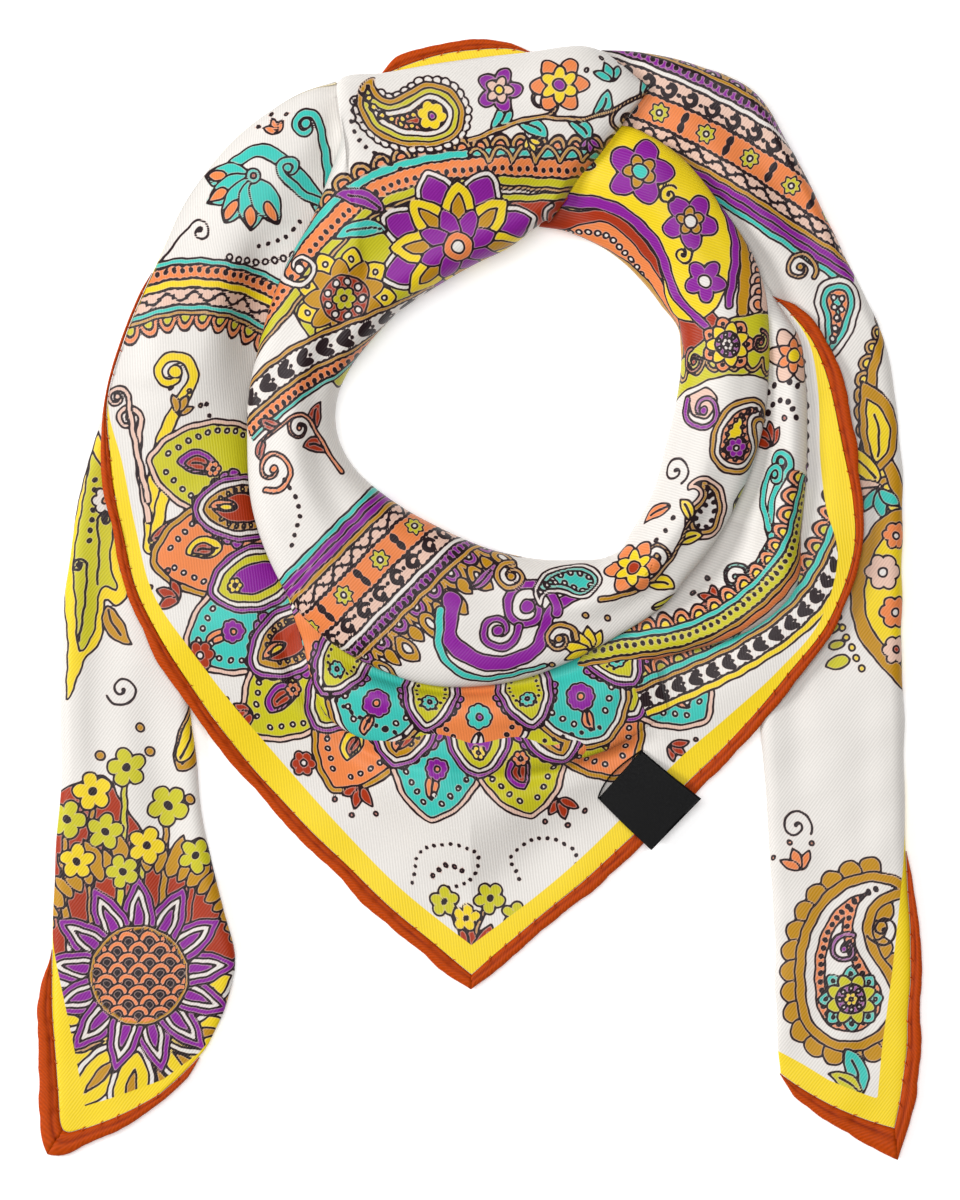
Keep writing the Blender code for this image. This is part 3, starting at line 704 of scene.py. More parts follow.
def blooms(art, at, s, v, width, tone):
    phase = repeat(s, width * 1.75)
    r, a = np.hypot(phase, v), np.arctan2(v, phase)
    art.lay(at, r - width * (0.3 + 0.05 * np.cos(7 * a)), tone)
    art.lay(at, r - width * 0.1, "ground")
    other = repeat(s + width * 0.875, width * 1.75)
    bud = np.hypot(other * 1.6, np.abs(v) - width * 0.19) - width * 0.16
    art.line(at, bud)


def leafChain(art, at, s, v, width):
    pitch = width * 0.92
    phase = repeat(s + np.abs(v) * 0.75, pitch)
    body = np.hypot(phase * 0.85, np.abs(v) - width * 0.15) - width * 0.21
    art.line(at, body + 0.15)
    art.line(at, np.hypot(repeat(s + width * 0.42, pitch), v) - width * 0.03)


def flattened(cloth):
    # the place of every point once its section is unrolled flat either side of its middle
    points = cloth.points
    step = np.linalg.norm(np.diff(points, axis=1), axis=2)
    arc = np.concatenate([np.zeros((len(points), 1)), np.cumsum(step, 1)], 1)
    middle = int(np.argmin(np.abs(cloth.share[len(points) // 2] - 0.5) + cloth.below))
    offset = arc - arc[:, middle:middle + 1]
    way = (cloth.run[:, 2:4] - cloth.run[:, 0:2]) / cloth.width[:, None]
    centre = points[:, middle, :2]
    return centre[:, None, 0] + way[:, 0:1] * offset, centre[:, None, 1] + way[:, 1:2] * offset


def makeMesh(name, points, faces, material, uv, values=()):
    mesh = bpy.data.meshes.new(name)
    mesh.vertices.add(len(points))
    mesh.vertices.foreach_set("co", (np.asarray(points) * mm).ravel())
    mesh.loops.add(faces.size)
    mesh.loops.foreach_set("vertex_index", faces.astype(np.int32).ravel())
    mesh.polygons.add(len(faces))
    mesh.polygons.foreach_set("loop_start", np.arange(0, faces.size, faces.shape[1], dtype=np.int32))
    mesh.uv_layers.new(name="cloth").data.foreach_set("uv", (uv[faces.ravel()] * mm).ravel())
    mesh.update(calc_edges=True)
    mesh.validate()
    for key, kind, field, data in values:
        attribute = mesh.attributes.new(key, kind, "POINT")
        attribute.data.foreach_set(field, np.ascontiguousarray(data, np.float32).ravel())
    mesh.materials.append(material)
    mesh.shade_smooth()
    return addObject(name, mesh)


def addObject(name, data):
    thing = bpy.data.objects.new(name, data)
    bpy.context.scene.collection.objects.link(thing)
    return thing


def gridFaces(stations, columns, flipped):
    s, k = np.meshgrid(np.arange(stations - 1), np.arange(columns - 1), indexing="ij")
    a = (s * columns + k).ravel()
    faces = np.stack([a, a + 1, a + 1 + columns, a + columns], 1)
    return faces[:, ::-1] if flipped else faces


def makeCloth(name, cloth, art, border, material):
    values = [
        ("dye", "FLOAT_COLOR", "color", np.concatenate([art.tone, np.ones((len(art.tone), 1))], 1)),
        ("ink", "FLOAT", "value", art.side * art.ink),
        ("border", "FLOAT", "value", np.clip(border, -3, 3)),
    ]
    uv = np.stack([part.ravel() for part in flattened(cloth)], 1)
    faces = gridFaces(*cloth.share.shape, cloth.flipped)
    return makeMesh(name, cloth.points.reshape(-1, 3), faces, material, uv, values)


def tubeFaces(sections, around):
    # triangles round a tube, and a fan from one more point at each of its ends
    ring = np.arange(around)
    after = (ring + 1) % around
    first = np.arange(sections - 1)[:, None] * around
    a, b = (first + ring).ravel(), (first + after).ravel()
    last, centre = (sections - 1) * around, sections * around
    return np.concatenate([
        np.stack([a, b, b + around], 1),
        np.stack([a, b + around, a + around], 1),
        np.stack([np.full(around, centre), after, ring], 1),
        np.stack([np.full(around, centre + 1), ring + last, after + last], 1),
    ])


def placeStitches(s, rng):
    # where the stitches are along a hem, and how hard they pinch it at every place
    least, most = hemSize["stitchGap"]
    stitches = np.cumsum(rng.uniform(least, most, int(s[-1] / least) + 2))
    stitches = stitches[stitches < s[-1] - 2]
    pinch = np.zeros_like(s)
    for place in stitches:
        pinch += np.exp(-((s - place) / hemSize["pinchLength"]) ** 2) * rng.uniform(0.6, 1.0)
    return stitches, pinch


def hemWobble(s, rng):
    wobble = np.zeros_like(s)
    for _ in range(5):
        wobble += rng.uniform(0.4, 1) * np.sin(math.tau * s / rng.uniform(9, 34) + rng.uniform(0, 6))
    return wobble


def rollHem(name, edge, widths, seed, startCorner=None, endCorner=None):
    # a flattened roll of the cloth's edge, to the right of its run, pinched at every stitch
    size = hemSize
    length = summed(np.linalg.norm(np.diff(edge, axis=0), axis=1))
    s = evenSteps(length[-1], size["spacing"], 6)
    inner = np.stack([np.interp(s, length, edge[:, k]) for k in range(3)], 1)
    width = np.interp(s, length, widths)
    way = np.gradient(smoothed(inner)[:, :2], axis=0)
    way /= np.linalg.norm(way, axis=1, keepdims=True)
    if startCorner is not None:                 # the two hems lap over each other at a corner
        inner[0, :2] -= size["lap"] * way[0]
    if endCorner is not None:
        inner[-1, :2] += size["lap"] * way[-1]
    out = np.stack([way[:, 1], -way[:, 0]], 1)
    rng = np.random.default_rng(seed)
    stitches, pinch = placeStitches(s, rng)
    width = width * (1 - size["pinch"] * pinch + size["wobble"] * hemWobble(s, rng))
    shift = np.zeros((len(s), 2))
    ends = ((startCorner, 0, s), (endCorner, -1, s[-1] - s))
    for corner, end, run in ends:
        if corner is None:                      # a free end thins away
            width = width * np.clip(run / size["taper"], 0.08, 1) ** 0.6
    for corner, end, run in ends:
        if corner is not None:                  # a corner is met by the two hems' outer edges
            miss = np.array(corner) - inner[end, :2] - out[end] * (width[end] + hemGap)
            shift += miss * np.clip(1 - run / (2 * width[end]), 0, 1)[:, None] ** 1.2
    turn = np.linspace(0, math.tau, size["around"], endpoint=False)
    q = (1 - np.cos(turn)) / 2                  # share of the hem's width, from its stitched side
    half = size["height"] / 2
    lift = half * np.sign(np.sin(turn)) * np.abs(np.sin(turn)) ** 0.75
    centre = np.maximum(inner[:, 2] + size["rise"] - half, half * 0.75 + 0.1)
    plan = inner[:, None, :2] + out[:, None] * (hemGap + width[:, None] * q)[..., None]
    plan = plan + shift[:, None] * q[:, None]
    above = np.sin(turn) > 0
    wander = size["creaseAt"] + 0.035 * np.sin(s / 7.3) + 0.02 * np.sin(s / 2.9 + 1)
    crease = size["crease"] * np.exp(-((q - wander[:, None]) / size["creaseWidth"]) ** 2) * above
    dip = size["dip"] * pinch[:, None] * np.exp(-((q - 0.12) / 0.35) ** 2) * above
    z = np.maximum(centre[:, None] + lift - crease - dip, 0.1)
    # painted shade: the hem's colour darkens in its crease and where each stitch pinches it
    creaseShade = np.clip(crease / size["crease"] * 0.9 + 0.35 * dip / size["dip"], 0, 1)
    points = np.concatenate([plan, z[..., None]], 2)
    vertices = np.concatenate([points.reshape(-1, 3), [points[0].mean(0), points[-1].mean(0)]])
    triangles = tubeFaces(*z.shape)
    uv = np.stack([np.repeat(s, len(turn)), (q * width[:, None] + lift).ravel()], 1)
    uv = np.concatenate([uv, [[0, 0], [s[-1], 0]]])
    creaseShade = np.concatenate([creaseShade.ravel(), [0, 0]])
    piece = makeMesh(name, vertices, triangles, hemSilk, uv, [("creaseShade", "FLOAT", "value", creaseShade)])
    tracks = (plan[:, 0, 0], plan[:, 0, 1], inner[:, 2], out[:, 0], out[:, 1])
    return piece, np.stack([np.interp(stitches, s, track) for track in tracks], 1)


def smoothed(values):
    values = values.copy()
    for _ in range(3):
        values[1:-1] = (values[:-2] + 2 * values[1:-1] + values[2:]) / 4
    return values


def addNode(tree, kind, inputs=(), **settings):
    # inputs take a value, or a link from another node's output
    node = tree.nodes.new(kind)
    for key, value in settings.items():
        setattr(node, key, value)
    for key, value in dict(inputs).items():
        if isinstance(value, bpy.types.NodeSocket):
            tree.links.new(value, node.inputs[key])
        else:
            node.inputs[key].default_value = value
    return node


def calculate(tree, operation, *values):
    return addNode(tree, "ShaderNodeMath", enumerate(values), operation=operation).outputs[0]


def startGroup(name, inputs, outputs, treeKind="ShaderNodeTree"):
    tree = bpy.data.node_groups.new(name, treeKind)
    for way, sockets in (("INPUT", inputs), ("OUTPUT", outputs)):
        for label, kind, *value in sockets:
            socket = tree.interface.new_socket(name=label, in_out=way, socket_type="NodeSocket" + kind)
            if value:
                socket.default_value = value[0]
    given, result = tree.nodes.new("NodeGroupInput"), tree.nodes.new("NodeGroupOutput")
    return tree, given.outputs, result.inputs


def makeTwill():
    tree, given, result = startGroup("silk twill", [
        ("Cloth", "Vector"),
        ("Direction", "Vector", (0.7, 0.7, 0.0)),
        ("Ribs per metre", "Float", 1200.0),
        ("Unevenness", "Float", 0.35),
    ], [("Ribs", "Float"), ("Slub", "Float")])
    sides = {0: given["Cloth"], 1: given["Direction"]}
    along = addNode(tree, "ShaderNodeVectorMath", sides, operation="DOT_PRODUCT")
    ribs = calculate(tree, "MULTIPLY", along.outputs["Value"], given["Ribs per metre"])
    wander = addNode(tree, "ShaderNodeTexNoise", {"Vector": given["Cloth"], "Scale": 260, "Detail": 1})
    drift = calculate(tree, "MULTIPLY", wander.outputs["Fac"], given["Unevenness"])
    phase = calculate(tree, "MULTIPLY", calculate(tree, "ADD", ribs, drift), math.tau)
    wave = calculate(tree, "SINE", phase)
    slub = addNode(tree, "ShaderNodeTexNoise", {"Vector": given["Cloth"], "Scale": 1400, "Detail": 2})
    tree.links.new(calculate(tree, "MULTIPLY_ADD", wave, 0.5, 0.5), result["Ribs"])
    tree.links.new(slub.outputs["Fac"], result["Slub"])
    return tree


def makePrintInk():
    tree, given, result = startGroup("print ink", [
        ("Distance", "Float", 1.0),
        ("Line", "Float", 0.3),
        ("Softness", "Float", 0.07),
        ("Halo", "Float", 0.3),
    ], [("Line", "Float"), ("Halo", "Float")])
    away = calculate(tree, "ABSOLUTE", given["Distance"])
    for width, out in (("Softness", "Line"), ("Halo", "Halo")):
        outer = calculate(tree, "ADD", given["Line"], given[width])
        inner = calculate(tree, "SUBTRACT", given["Line"], given["Softness"])
        fade = mapped(tree, away, 1.0, 0.0, inner, outer, interpolation_type="SMOOTHSTEP")
        tree.links.new(fade, result[out])
    return tree


def mapped(tree, value, low, high, fromLow=0.0, fromHigh=1.0, **settings):
    inputs = {"Value": value, "From Min": fromLow, "From Max": fromHigh, "To Min": low, "To Max": high}
    return addNode(tree, "ShaderNodeMapRange", inputs, **settings).outputs["Result"]


def mixColour(tree, factor, first, second, blend="MIX"):
    first, second = [(*tone, 1) if isinstance(tone, tuple) else tone for tone in (first, second)]
    inputs = {0: factor, 6: first, 7: second}
    return addNode(tree, "ShaderNodeMix", inputs, data_type="RGBA", blend_type=blend).outputs[2]


def readAttribute(tree, name, output="Fac"):
    return addNode(tree, "ShaderNodeAttribute", attribute_name=name).outputs[output]


def startMaterial(name, roughness, sheen, shine=0.25):
    material = bpy.data.materials.new(name)
    material.use_nodes = True
    inputs = material.node_tree.nodes["Principled BSDF"].inputs
    inputs["Roughness"].default_value = roughness
    inputs["Sheen Weight"].default_value = sheen
    inputs["Sheen Roughness"].default_value = 0.35
    inputs["Specular IOR Level"].default_value = shine
    return material, material.node_tree, inputs


def dress(tree, shader, colour, rough, height, depth):
    bump = addNode(tree, "ShaderNodeBump", {"Strength": 1, "Distance": depth, "Height": height})
    tree.links.new(colour, shader["Base Color"])
    tree.links.new(rough, shader["Roughness"])
    tree.links.new(bump.outputs["Normal"], shader["Normal"])


def weave(tree, shader, colour, size, direction):
    # the ribs and slubs of the cloth over a colour
    uv = addNode(tree, "ShaderNodeUVMap", uv_map="cloth").outputs["UV"]
    ribs = addNode(tree, "ShaderNodeGroup", {
        "Cloth": uv, "Direction": direction, "Ribs per metre": size["ribs"], "Unevenness": size["uneven"],
    }, node_tree=twill)
    shade = mapped(tree, ribs.outputs["Ribs"], *size["shade"])
    colour = mixColour(tree, 1.0, colour, shade, "MULTIPLY")
    if "mottle" in size:
        mottle = mapped(tree, ribs.outputs["Slub"], *size["mottle"], 0.3, 0.7)
        colour = mixColour(tree, 1.0, colour, mottle, "MULTIPLY")
    rough = mapped(tree, ribs.outputs["Slub"], *size["rough"], 0.3, 0.7)
    dress(tree, shader, colour, rough, ribs.outputs["Ribs"], size["depth"])


twill = makeTwill()
printInk = makePrintInk()
silkFinish = {
    "ribs": 1180, "uneven": 0.35, "shade": (0.87, 1.0), "mottle": (0.97, 1.02), "rough": (0.40, 0.49),
    "depth": 0.00004, "line": 0.33, "halo": 0.34, "haloTone": linear(226, 196, 186),
}
hemFinish = {
    "ribs": 1300, "uneven": 0.5, "shade": (0.86, 1.04), "mottle": (0.9, 1.08), "rough": (0.44, 0.56),
    "depth": 0.00005, "creaseShadeTone": linear(120, 32, 2), "thread": linear(210, 84, 14),
}
labelFinish = {"ribs": 2400, "uneven": 0.3, "shade": (0.75, 1.25), "rough": (0.36, 0.5), "depth": 0.00003}


def makeSilk(name, direction, printed=True):
    size = silkFinish
    material, tree, shader = startMaterial(name, 0.44, 0.08)
    colour = dyes["border"]
    if printed:
        inputs = {"Distance": readAttribute(tree, "ink"), "Line": size["line"], "Halo": size["halo"]}
        ink = addNode(tree, "ShaderNodeGroup", inputs, node_tree=printInk)
        haloShare = mapped(tree, ink.outputs["Halo"], 0.0, 0.45)
        colour = mixColour(tree, haloShare, readAttribute(tree, "dye", "Color"), size["haloTone"])
        colour = mixColour(tree, ink.outputs["Line"], colour, dyes["ink"])
        borderShare = mapped(tree, readAttribute(tree, "border"), 1.0, 0.0, -0.1, 0.1)
        colour = mixColour(tree, borderShare, colour, dyes["border"])
    weave(tree, shader, colour, size, direction)
    return material


def makeHemSilk(name):
    material, tree, shader = startMaterial(name, 0.5, 0.0, 0.08)
    # painted shade in the hem's crease and at its stitch pinches, mixed towards a darker rust
    colour = mixColour(tree, readAttribute(tree, "creaseShade"), dyes["hem"], hemFinish["creaseShadeTone"])
    weave(tree, shader, colour, hemFinish, (0.6, 0.8, 0.0))
    return material


def makeThread(name):
    material, tree, shader = startMaterial(name, 0.5, 0.05)
    place = tree.nodes.new("ShaderNodeTexCoord").outputs["Object"]
    wave = {"Vector": place, "Scale": 900, "Distortion": 1.5}
    twist = addNode(tree, "ShaderNodeTexWave", wave).outputs["Fac"]
    colour = mixColour(tree, twist, dyes["hem"], hemFinish["thread"])
    dress(tree, shader, colour, mapped(tree, twist, 0.42, 0.58), twist, 0.00004)
    return material


def makeLabelSatin(name):
    material, tree, shader = startMaterial(name, 0.5, 0.0, 0.08)
    weave(tree, shader, dyes["label"], labelFinish, (0.0, 1.0, 0.0))
    return material


silk = {
    "band": makeSilk("printed silk, band", (0.75, -0.66, 0.0)),
    "roll": makeSilk("printed silk, right side", (0.30, 0.95, 0.0)),
    "panel": makeSilk("printed silk, front", (0.99, 0.12, 0.0)),
    "tail": makeSilk("printed silk, ends", (0.80, -0.60, 0.0)),
}
borderSilk = makeSilk("yellow border silk", (0.9, 0.43, 0.0), printed=False)
hemSilk = makeHemSilk("rust hem silk")
threadSilk = makeThread("rust sewing silk")
labelSatin = makeLabelSatin("black label satin")
print("finishes made")


# the stretches of cloth, from the floor up
leftTailRows = filled(
    (-74, 96, -90, 104, 3, 4, 4, 3.5, 2),
    (-78, 80, -109, 80, 3, 5, 5.5, 5, 2),
    (-82, 65, -114.5, 66, 3, 5.5, 6, 5.5, 2.5),
    (-85, 46, -118.7, 54),
    (-86.5, 27.5, -122.8, 40),
    (-88, 9, -126, 21.8),
    (-89.5, -12.5, -129.2, -6.4),
    (-89.5, -35, -130, -31.5),
    (-87, -59, -129.8, -56, 2.8, 5, 5.5, 5, 2.5),
    (-84.3, -78, -131.7, -81, 2.6, 4.5, 5, 4.5, 2.5),
    (-79.2, -96.5, -132.7, -108.5, 2.4, 4.3, 4.6, 4, 2.2, 0.8),
    (-75.8, -112, -132.5, -123, 2.2, 4, 4.3, 3.5, 2, 4),
    (-78.2, -125, -131.8, -140, 2, 3.6, 3.8, 3, 2, 5.3),
    (-82, -134, -130.5, -154, 2, 3, 3.2, 2.6, 2, 6),
    (-86.8, -142, -129, -164.7, 2, 2.4, 2.4, 2.2, 2, 6),
    (-99.5, -153.8, -122.6, -164.5, 2, 2.2, 2.2, 2.2, 2, 5, 0, -0.8),
)
leftTail = {
    "spacing": 0.56, "across": 88, "turnIn": 4, "turnOut": 4, "turnSteps": 10,
    "unevenness": 0.2, "seed": 11, "flat": (0.053, 0.277),
    "folds": [
        (-74, 118, -76, 70, -76, 20, 9, -3),
        (-118, 70, -112, 10, -118, -60, 7, -1.1),
        (-124, 20, -126, -30, -122, -80, 4, 0.7),
        (-104, -20, -98, -70, -88, -118, 6, -1),
        (-92, -40, -88, -80, -82, -112, 4, 0.6),
        (-122, -78, -112, -110, -118, -150, 6, -0.7),
        (-110, -128, -100, -138, -88, -138, 4, 0.5),
    ],
}
leftCloth = layStretch("left_tail", leftTailRows, leftTail)

rightTailRows = filled(
    (32, 143, 38, 170.4, 5, 5, 5, 5, 4),
    (36.5, 140, 49.5, 169.8, 5, 7, 7, 7, 4),
    (40.5, 137, 59, 168.4, 5, 8, 10, 9, 4),
    (46.5, 133, 69, 165.3, 5, 9, 11, 10, 4),
    (50.5, 130, 77.5, 162.4, 5, 9, 12, 10, 4),
    (56, 125, 87.5, 155.5),
    (65.5, 117.5, 98.2, 137.7),
    (73, 108, 106.5, 122, 4, 8, 11, 9, 4),
    (80.5, 96, 114.3, 105.5, 4, 7, 9, 8, 3.5),
    (85.5, 83.5, 123.3, 87, 3, 5.5, 7.5, 7, 3),
    (92, 68, 128, 71, 3, 5.5, 6.5, 6, 3),
    (95, 52.5, 130.4, 54, 3, 5.5, 6, 5.5, 2.5),
    (96.5, 30.5, 131.7, 34),
    (95, 9, 131.4, 12),
    (90, -16, 131.3, -12.5),
    (87.6, -36, 132, -37.5),
    (89.2, -62.5, 132.2, -59, 2.8, 5, 5.5, 5, 2.5),
    (90.4, -82, 132.4, -78, 2.6, 4.6, 5, 4.6, 2.4, 0.8),
    (91.9, -106.5, 133.8, -100.5, 2.4, 4.2, 4.4, 3.8, 2.2, 2.8),
    (92.3, -124.5, 134, -116, 2.2, 3.8, 4, 3.2, 2, 3.4),
    (92.9, -140, 132.3, -146, 2, 2.8, 3, 2.6, 2, 4.6),
    (93.6, -147.3, 129, -164.3, 2, 2.4, 2.4, 2.2, 2, 5.6, 0, 2),
)
rightTail = {
    "spacing": 0.56, "across": 76, "turnIn": 4, "turnOut": 4, "turnSteps": 10,
    "unevenness": 0.2, "seed": 12, "flat": (0.056, 0.35),
    "folds": [
        (44, 160, 84, 146, 112, 102, 8, -0.9),
        (112, 96, 124, 50, 120, 0, 6, 0.8),
        (106, 70, 114, 20, 108, -40, 7, -1.2),
        (98, 10, 97, -30, 100, -70, 5, -0.8),
        (124, -20, 128, -60, 122, -110, 5, 0.7),
        (106, -60, 112, -100, 104, -142, 6, -0.9),
        (120, -100, 122, -130, 118, -150, 4, -0.5),
    ],
}
rightCloth = layStretch("right_tail", rightTailRows, rightTail)

underStripRows = filled(
    (-33, 152, -31, 162, 2.5, 3, 3, 2.5, 2, 2),
    (-24.5, 153, -23.8, 165.3, 2.5, 3, 3, 2.5, 2, 3.6),
    (-13, 155, -12, 169.1, 2.5, 3, 3, 2.5, 2, 3.4),
    (-2, 156.5, -1, 170.6, 2.5, 3, 3, 2.5, 2, 3.2),
    (8, 156.5, 9.2, 170.9, 2.5, 3, 3, 2.5, 2, 2),
    (16, 156, 16.8, 169.4, 2.5, 3, 3, 2.5, 2, 1),
)
underStrip = {
    "spacing": 1, "across": 14, "turnIn": 0, "turnOut": 0, "turnSteps": 4,
    "unevenness": 0.1, "seed": 13, "flat": (0.014, 0.054), "area": 0.00066, "folds": [],
}
stripCloth = layStretch("under_strip", underStripRows, underStrip)

frontPanelRows = filled(
    (-36, 151, -44.7, 161.3, 6, 6, 7, 7, 5, 0, 5),
    (-37.5, 142.5, -59.1, 155.4, 8, 10, 11, 9, 5, 0, 6),
    (-41.5, 130, -76, 142.5, 8, 11, 13, 11, 5, 0, 7),
    (-46, 116, -91.1, 123.5, 8, 11, 14, 12, 6, 0, 7),
    (-54, 96, -100.6, 101, 8, 10, 14, 13, 9, 0.8, 4),
    (-60, 80.5, -109.9, 80.5, 8, 9, 13, 12, 9, 1, 2),
    (-64, 61.5, -115, 61.5, 8, 9, 12, 11, 9, 1, 1.5),
    (-65, 43, -113.8, 41.4, 8, 10, 11, 10, 9, 3.1, 1),
    (-63, 24.5, -110.7, 21.4),
    (-58.5, 10.5, -105.5, 1.2, 8, 10, 11, 10, 9, 3.2, 1),
    (-52.5, -0.5, -96.1, -16.4, 8, 10, 11, 10, 9, 4.3, 1),
    (-44.5, -8, -82, -37.6, 8, 10, 10, 7, 6, 4.2, 1),
    (-35.5, -14.5, -66.8, -56.4, 8, 10, 10, 4, 2.2, 4.1, 1),
    (-24.5, -19, -47.2, -76.7, 8, 10, 10, 3, 1.8, 4.4, 1),
    (-13.5, -21, -25.4, -97.4, 8, 11, 10, 2.5, 1.8, 4.8, 1),
    (-3, -21.5, -2.3, -116.6, 8, 11, 9, 2.4, 1.8, 4.6, 1),
    (8, -20, 18.6, -98.7, 8, 11, 9, 2.4, 1.8, 3.8, 1),
    (17.5, -17.5, 35, -85.2, 8, 10, 9, 2.6, 1.8, 4.2, 1),
    (26.5, -13.5, 51.1, -70.1, 6, 9, 8, 3, 1.8, 4.2, 1),
    (36, -9.5, 65.5, -56, 4, 5, 6, 4, 2, 4.2, 1),
    (43.5, -5, 81.5, -40.2, 3, 4, 5, 6, 4.5, 3.8, 1),
    (50, -0.5, 95.6, -23.4, 3, 3, 4, 8, 8, 3.4, 1),
    (54.5, 4.5, 108, -7.4, 3, 3, 4, 9, 9, 2.6, 1),
    (59, 10.5, 115.8, 13, 3, 3, 4, 8.8, 9, 2.4, 1),
    (65.5, 18.5, 116, 30.5, 3, 3, 4, 8.6, 9, 3, 1),
    (71.5, 27.5, 112.6, 47.4, 3, 3, 4, 8.4, 9, 4.2, 1),
    (76.5, 40, 108.6, 66.5, 3, 3, 4, 8.2, 9, 4.6, 1),
    (79.5, 55.5, 103.4, 79.8, 3, 4, 5, 8.2, 9, 3.9, 1),
    (82, 71, 96.2, 89, 4, 4, 6, 7.5, 9, 3, 1),
    (83.5, 84, 90.8, 94, 5, 5, 6, 7, 9, 1, 1),
)
frontPanel = {
    "spacing": 0.68, "across": 94, "turnIn": 0, "turnOut": None, "turnSteps": 12, "outerShare": 0.85,
    "unevenness": 0.22, "seed": 14, "flat": (0.07, 0.50), "area": 0.028,
    "hidden": [
        0, 0, 0, 0, 2, 2, 2, 2, 3, 5, 9, 12, 13, 19, 20, 21, 22, 22, 22, 18,
        10, 17, 25, 28, 23, 20, 15, 9, 3, 0,
    ],
    "borderWidth": [
        0, 0, 0, 0, 0, 0, 0, 3.4, 4.3, 4.4, 6, 7.4, 8.2, 7.7, 7.4, 9, 6.4, 6.5, 6.8, 7,
        5.6, 3, 2.4, 4.6, 8.6, 7.6, 4.4, 1.2, 0, 0,
    ],
    "folds": [
        (-66, 118, -71, 60, -56, 2, 9, -6),
        (-58, -10, -5, -42, 52, -12, 6, -3.2),
        (-41, 172, -46, 150, -46, 124, 5, -2.2),
        (-63, 1, -56, -54, -9, -53, 3.5, -3.2),
        (-15, -52, 19, -63, 57, -42, 3.5, -3.2),
        (-96, 112, -104, 60, -94, 4, 8, 1),
        (-111, 66, -100, 62, -88, 66, 3.5, -0.6),
        (-108, 38, -98, 33, -86, 35, 3.5, -0.5),
        (-96, 2, -86, -4, -76, -4, 3.5, -0.5),
        (-66, -24, -52, -44, -30, -58, 6, -0.7),
        (-40, -66, -16, -84, 6, -86, 6, 0.5),
        (10, -60, 30, -62, 52, -48, 6, -0.6),
        (80, 62, 84, 30, 66, 6, 7, -1),
        (84, 4, 96, -4, 104, 2, 4, -0.5),
        (104, 20, 108, 40, 104, 64, 3.5, -0.7),
    ],
}
panelCloth = layStretch("front_panel", frontPanelRows, frontPanel, (cornerRow,))

frontSwagRows = filled(
    (-60, 13, -61.5, 8, 10.5, 11, 11, 11, 10.8),
    (-54, -0.5, -57, -6.5, 11, 12, 12, 12, 10.8),
    (-47.5, -8, -53, -21, 11, 13, 13.5, 13, 10.6),
    (-37.5, -15.5, -46.5, -37, 11, 13.5, 14, 13, 10.2),
    (-25, -20.5, -29.5, -46, 11, 13.5, 14, 12, 8),
    (-12.5, -22.5, -15, -49.5, 11, 13.5, 13.5, 11, 6.5),
    (0, -22.5, -1.5, -51.5, 11, 13.5, 13.5, 11, 6),
    (12.5, -21, 12.5, -52, 11, 13, 13, 10.5, 6),
    (24.5, -17.5, 26.5, -51, 10, 12, 12, 10, 5.5),
    (35.5, -14, 39.5, -47, 9, 10, 10.5, 9, 5),
    (44.5, -13, 50, -41.5, 7.5, 8.5, 8.5, 7.5, 4.5),
    (53, -15, 59, -36, 6.5, 7, 7, 6.5, 5),
)
frontSwag = {
    "spacing": 0.5, "across": 50, "turnIn": 0, "turnOut": 9, "turnSteps": 24, "under": 2.5,
    "unevenness": 0.15, "seed": 15, "flat": (0.036, 0.14),
    "folds": [
        (-58, -10, -5, -42, 52, -12, 4.4, -4.6),
        (-44, -18, -46, -22, -48, -26, 4, -0.8),
        (-28, -24, -30, -29, -32, -34, 4.5, 0.5),
        (-12, -26, -13, -32, -14, -38, 5, -0.7),
        (8, -26, 8, -32, 8, -40, 5, 0.5),
        (26, -22, 28, -30, 29, -38, 5, -0.6),
    ],
}
swagCloth = layStretch("front_swag", frontSwagRows, frontSwag)

rightFoldRows = filled(
    (83.5, 103, 87, 100.5, 9, 10, 10, 10, 9),
    (83.5, 92.5, 92.5, 92.5, 9, 10, 12, 12, 8),
    (82.5, 80.5, 99.5, 80.5, 8, 9, 12, 13, 8),
    (81.5, 66.5, 101.5, 66.5, 8, 8, 11, 14, 8),
    (79.5, 52.5, 102, 52.5, 8, 8, 10, 14, 8),
    (76.5, 40, 101.5, 38.5, 8, 7, 8, 14, 8),
    (72.5, 29, 100, 21.5, 7, 6, 8, 14, 7),
    (67, 20, 99.5, 6, 7, 6, 7, 13, 7),
    (62.5, 12, 92, -4.5, 7, 6, 8, 12, 6),
    (56.5, 4.5, 79.5, -12, 7, 7, 9, 11, 6),
    (50, -0.5, 65.5, -16, 7, 8, 9, 10, 6),
    (42, -6, 50, -19.5, 7, 8, 9, 9, 6),
    (33.5, -11.5, 37.5, -21.5, 7, 8, 8, 8, 6),
    (24.5, -16.5, 26, -22.5, 6, 7, 7, 7, 6),
)
rightFold = {
    "spacing": 0.5, "across": 46, "turnIn": 0, "turnOut": 6, "turnSteps": 17, "under": 2.5,
    "unevenness": 0.15, "seed": 16, "flat": (0.034, 0.155),
    "folds": [
        (85, 80, 86, 50, 80, 30, 4, -1),
        (92, 66, 94, 40, 88, 14, 4, 0.6),
        (80, 24, 72, 6, 58, -6, 6, -2.6),
        (84, 2, 72, -8, 56, -14, 3.5, -0.6),
    ],
}
foldCloth = layStretch("right_fold", rightFoldRows, rightFold)

